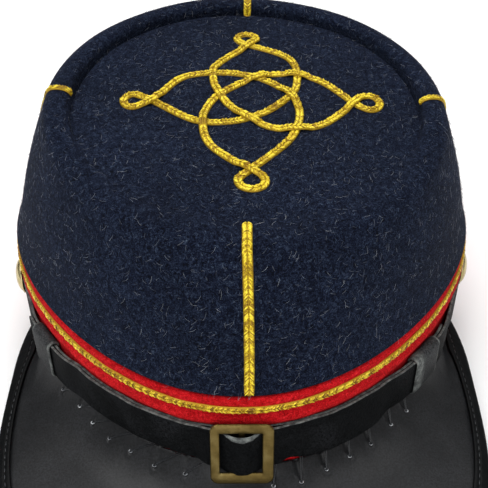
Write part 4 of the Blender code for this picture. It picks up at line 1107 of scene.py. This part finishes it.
section = roundedSection(0.5 * strap["width"], strap["thickness"], strap["roundEdge"], strap["facePoints"])
for name, length in strap["lengths"].items():
    towards = 1.0 if length["freeEnd"] > length["button"] else -1.0
    tailEnd = length["button"] - towards * strap["tail"]
    stations = np.append(np.arange(tailEnd, length["freeEnd"], towards * strap["step"]), length["freeEnd"])
    fromButton = np.abs(stations - stations[0]) * strap["perDegree"]
    fromEnd = np.minimum(fromButton, np.abs(stations - stations[-1]) * strap["perDegree"])
    share = strap["endShare"] + (1.0 - strap["endShare"]) * roundEnd(fromEnd, strap["endRound"])
    wander = 0.12 * np.sin(stations * 0.21) + 0.08 * np.sin(stations * 0.57 + length["layer"])
    offset = section[None, :, 0] * share[:, None] + wander[:, None]
    offset = offset * (1.0 - strap["taper"] * smoothStep(1.0 - fromButton / strap["taperReach"]))[:, None]
    height = strapMiddle(stations)[:, None] + offset - (0.0 if length["layer"] else strap["underLow"])
    out = strapOut(stations[:, None], height, length["layer"])
    lowShare = smoothStep((0.35 * strap["width"] - section[None, :, 0]) / strap["width"])
    out = out + strapFlare(stations)[:, None] * lowShare
    # soft cockles across the strap
    cockle = 0.12 * np.sin(stations * 0.8 + 1.3) * np.sin(stations * 0.23)
    out = out + (cockle * smoothStep((fromEnd - 2.0) / 6.0))[:, None] * (1.0 if length["layer"] else 0.5)
    grid = headPoint(stations[:, None], out + section[None, :, 1], height)
    mesh = gridMesh(name, grid, False, tubed=True, capped=True)
    # where it bends out through the buckle its upper face is worn grey as well
    across = oval(stations)[:, :1]
    worn = length["layer"] * np.clip(1.0 - (across / strap["wornHalf"]) ** 2, 0.0, 1.0)
    low = 0.5 * strap["width"] - strap["wornDepth"] * worn
    marks = np.maximum(section[None, :, 2], smoothStep((section[None, :, 0] - low) / 0.3) * (worn > 0.0))
    markPoints(mesh, "cutEdge", marks)
    settle(addPiece(name, mesh, strapLeather, sharp=75.0), "strap_leather", length["node"])

for name, loop in keeper["loops"].items():
    middleTurn = 0.5 * (loop["rear"] + loop["front"])
    base = float(strapBase(np.array(middleTurn)))
    back = base - strap["gap"]
    front = base + 2.0 * strap["thickness"] + strap["gap"] + keeper["clear"]
    half, corner = 0.5 * strap["width"] + keeper["clear"], keeper["corner"]
    # the loop's path as (height, out), each with its direction outwards
    path = []
    for up, outer, start in ((1, 1, 90.0), (1, -1, 0.0), (-1, -1, -90.0), (-1, 1, -180.0)):
        middleOut = front - corner if outer > 0 else back + corner
        for a in np.radians(start - 15.0 * np.arange(7)):
            z, y = math.cos(a), math.sin(a)
            path.append((up * (half - corner) + corner * z, middleOut + corner * y, z, y))
    # the leather's own section, round at its edges: (share of its width, share of its thickness)
    ring = []
    for up, out, z, y in path:
        row = []
        for along, thick in ((0.04, 0.0), (0.0, 0.2), (0.0, 0.6), (0.04, 0.92), (0.1, 1.0), (0.5, 1.0),
                             (0.91, 1.0), (0.96, 0.92), (1.0, 0.6), (1.0, 0.2), (0.96, 0.0), (0.5, 0.0)):
            turn = loop["rear"] + (loop["front"] - loop["rear"]) * along
            away = keeper["thickness"] * thick
            row.append(headPoint(turn, out + y * away, float(strapMiddle(np.array(turn))) + up + z * away))
        ring.append(row)
    mesh = gridMesh(name, np.array(ring), True, tubed=True)
    edge = np.tile([1.0, 1.0, 1.0, 1.0, 0.0, 0.0, loop["worn"], 1.0, 1.0, 1.0, 1.0, 0.0], len(ring))
    markPoints(mesh, "cutEdge", edge)
    settle(addPiece(name, mesh, keeperLeather, sharp=75.0), "strap_leather", loop["node"])
print("stage: strap and keepers")


def roundedRectangle(width, height, radius, steps):
    outline = []
    x, z = 0.5 * width - radius, 0.5 * height - radius
    for cornerX, cornerZ, start in ((x, z, 0.0), (-x, z, 90.0), (-x, -z, 180.0), (x, -z, 270.0)):
        for a in np.radians(start + 90.0 * np.arange(steps + 1) / steps):
            outline.append((cornerX + radius * math.cos(a), cornerZ + radius * math.sin(a)))
    return np.array(outline)


outline = roundedRectangle(buckle["width"], buckle["height"], buckle["corner"], 10)
window = roundedRectangle(
    buckle["width"] - 2.0 * buckle["bar"], buckle["height"] - 2.0 * buckle["bar"] - buckle["lowBar"],
    buckle["windowCorner"], 10) + np.array((buckle["offCentre"], 0.5 * buckle["lowBar"]))
halfT, bevel = 0.5 * buckle["thickness"], buckle["bevel"]
# the frame's section, with its edges eased: (share from the window to the outline, depth)
edge = [(share * bevel / buckle["bar"], halfT - bevel * lower)
        for share, lower in ((0.0, 1.0), (0.35, 0.3), (1.0, 0.0))]
frameSection = ([(share, -depth) for share, depth in edge[::-1]] + edge
                + [(1.0 - share, depth) for share, depth in edge[::-1]]
                + [(1.0 - share, -depth) for share, depth in edge])
frameRows = []
for share, depth in frameSection:
    at = window + (outline - window) * share
    frameRows.append(np.stack([at[:, 0], np.full(len(at), depth), at[:, 1]], -1))
frameMesh = gridMesh("buckle", np.stack(frameRows, 1), True, tubed=True)
barEnd = 0.5 * buckle["height"] - buckle["bar"] + 0.4
barMesh = gridMesh("buckleBar", np.array([
    [(0.5 * buckle["centreBar"] * math.cos(a), 0.25 + 0.3 * math.sin(a), z)
     for a in np.arange(16) * math.pi / 8] for z in (-barEnd, barEnd)]), False, tubed=True, capped=True)
buckleSet = Matrix.Translation(Vector((0.0, buckle["y"], buckle["z"]))) @ Matrix.Rotation(
    math.radians(-buckle["lean"]), 4, "X")
bucklePieces = []
for name, mesh in (("buckleFrame", frameMesh), ("buckleBar", barMesh)):
    mesh.transform(buckleSet)
    bucklePieces.append(addPiece(name, mesh, brass, sharp=50.0))
settle(joined("brassBuckle", bucklePieces), "brass", "buckle")

# Side buttons: stamped domes turned over at the rim, on a shank
button = {"radius": 7.4, "dome": 3.2, "rim": 0.9, "lip": 0.75, "sides": 72, "shank": 2.0}
radius, rim, dome = button["radius"], button["rim"], button["dome"]
profile = [(0.0, -0.2), (button["shank"], -0.2), (button["shank"], 0.12), (radius - 0.4, 0.0)]
profile += [(radius - 0.45 + 0.45 * math.cos(a), 0.5 * rim + 0.45 * math.sin(a))
            for a in np.radians(range(-90, 121, 21))]
profile += [((radius - button["lip"]) * math.cos(a), 0.62 * rim + (dome - 0.62 * rim) * math.sin(a))
            for a in np.radians(np.linspace(4.0, 90.0, 20))]
profile[-1] = (0.0, dome)
angles = np.arange(button["sides"]) * 2.0 * math.pi / button["sides"]
buttonGrid = np.array([[(r * math.cos(a), r * math.sin(a), out) for r, out in profile] for a in angles])
for name, node, hung in (("buttonLeft", "button_left", "strapLeft"),
                         ("buttonRight", "button_right", "strapRight")):
    buttonTurn = strap["lengths"][hung]["button"]
    mesh = gridMesh(name, buttonGrid, True)
    seat = strap["gap"] + strap["thickness"] + strap["gap"]
    foot = Vector(headPoint(buttonTurn, seat, strap["buttonZ"]))
    outwards = Vector(outwardsAt(buttonTurn))
    mesh.transform(Matrix.Translation(foot) @ outwards.to_track_quat("Z", "Y").to_matrix().to_4x4())
    settle(addPiece(name, mesh, buttonBrass, sharp=55.0), "brass", node)
print("stage: buckle and buttons")

# Nap: loose fibres on the wool, each a thin bent hair that leans along the cloth
napTree, given, result = newTree("nap", {
    "Density": "Float", "Fibre Length": "Float", "Fibre Radius": "Float", "Lean": "Float",
    "Bend": "Float", "Segments": "Int", "Seed": "Int", "Material": "Material"})
middle = addNode(napTree, "ShaderNodeCombineXYZ", {"X": given["Bend"], "Z": given["Fibre Length"]})
line = addNode(napTree, "GeometryNodeCurveQuadraticBezier", {
    "Resolution": given["Segments"], "Start": (0.0, 0.0, 0.0),
    "Middle": addNode(napTree, "ShaderNodeVectorMath", {0: middle, "Scale": 0.5}, operation="SCALE"),
    "End": addNode(napTree, "ShaderNodeCombineXYZ", {"Z": given["Fibre Length"]})})
hair = addNode(napTree, "GeometryNodeCurveToMesh", {
    "Curve": line, "Fill Caps": True,
    "Profile Curve": addNode(napTree, "GeometryNodeCurvePrimitiveCircle", {
        "Resolution": 3, "Radius": given["Fibre Radius"]})})
spots = addNode(napTree, "GeometryNodeDistributePointsOnFaces", {
    "Mesh": given["Geometry"], "Density": given["Density"], "Seed": given["Seed"]})
leanMost = addNode(napTree, "ShaderNodeMath", {0: given["Lean"], 1: 0.25}, operation="ADD")
tilt, turned, variety = (
    addNode(napTree, "FunctionNodeRandomValue", {2: low, 3: high, "Seed": given["Seed"]}, data_type="FLOAT")
    for low, high in ((given["Lean"], leanMost), (0.0, 2.0 * math.pi), (0.45, 1.25)))
leant = addNode(napTree, "ShaderNodeCombineXYZ", {"X": tilt, "Z": turned})
facing = addNode(napTree, "FunctionNodeRotateRotation", {
    "Rotation": spots.outputs["Rotation"],
    "Rotate By": addNode(napTree, "FunctionNodeEulerToRotation", {"Euler": leant})}, rotation_space="LOCAL")
scattered(napTree, given, result, spots, hair, facing, variety)

# density is fibres on a square centimetre; real fibres are 0.02 mm thick and are drawn thicker to show
napKinds = {
    "crownLint": {
        "on": "crown", "density": 11.0, "length": 1.9, "radius": 0.025, "lean": 1.3, "bend": 0.6,
        "segments": 3, "material": "paleLint", "slot": "navy_wool", "seed": 7},
    "crownNap": {
        "on": "crown", "density": 16.0, "length": 1.3, "radius": 0.04, "lean": 1.0, "bend": 0.0,
        "segments": 1, "material": "navyNap", "slot": "navy_wool", "seed": 21},
    "bandNap": {
        "on": "band", "density": 24.0, "length": 1.0, "radius": 0.035, "lean": 1.0, "bend": 0.0,
        "segments": 1, "material": "redNap", "slot": "red_wool", "seed": 33},
}
bandFace = headPoint(bandTurns[:, None], [[0.05, 0.05, 0.5, 0.0]], [[0.5, 26.0, 31.0, 34.4]])
napBases = {
    "crown": gridMesh("crownNapBase", skin[:, skinMarks >= 0.02], ringed=True),
    "band": gridMesh("bandNapBase", bandFace, ringed=True),
}
for name, kind in napKinds.items():
    base = napBases[kind["on"]].copy()
    base.transform(hatPlace)
    closeUp(base, 1e-6)
    nap = grown(name, base, napTree, {
        "Density": kind["density"] * 1e4, "Fibre Length": kind["length"] * 0.001,
        "Fibre Radius": kind["radius"] * 0.001, "Lean": kind["lean"], "Bend": kind["bend"] * 0.001,
        "Segments": kind["segments"], "Seed": kind["seed"],
        "Material": napMaterials[kind["material"]]})
    settle(nap, kind["slot"])
    print("stage:", name, len(nap.data.loops) - 2 * len(nap.data.polygons), "triangles")

# Floor and soft studio light
floorMaterial = newMaterial("paleFloor", {
    "Base Color": toLinear("FAFAFA"), "Roughness": 0.9, "Specular IOR Level": 0.2})[0]
floorEnds = (-3000.0, 3000.0)
floor = gridMesh("floor", np.array([[(x, y, 0.0) for y in floorEnds] for x in floorEnds]), False)
floor.transform(Matrix.Scale(0.001, 4))
addPiece("floor", floor, floorMaterial, placed=True)

lights = {
    "keyLight": {"place": (-0.6, -0.25, 1.15), "size": 0.9, "watts": 9.0},
    "fillLight": {"place": (0.65, -0.2, 1.1), "size": 0.9, "watts": 4.6},
    "frontLight": {"place": (0.0, -1.2, 0.5), "size": 0.9, "watts": 5.5},
    "backLight": {"place": (0.0, 0.6, 1.15), "size": 1.0, "watts": 8.5},
}
target = Vector((0.0, 0.0, 0.04))
for name, light in lights.items():
    lamp = bpy.data.lights.new(name, "AREA")
    lamp.shape = "DISK"
    lamp.size = light["size"]
    lamp.energy = light["watts"]
    lampObject = linked(name, lamp)
    lampObject.location = light["place"]
    lampObject.rotation_euler = (target - lampObject.location).to_track_quat("-Z", "Y").to_euler()
world = bpy.data.worlds.new("paleStudio")
bpy.context.scene.world = world
world.use_nodes = True
setInputs(world.node_tree.nodes["Background"], {"Color": (1.0, 1.0, 1.0, 1.0), "Strength": 0.28})
bpy.context.scene.view_settings.view_transform = "Standard"

bpy.context.view_layer.update()
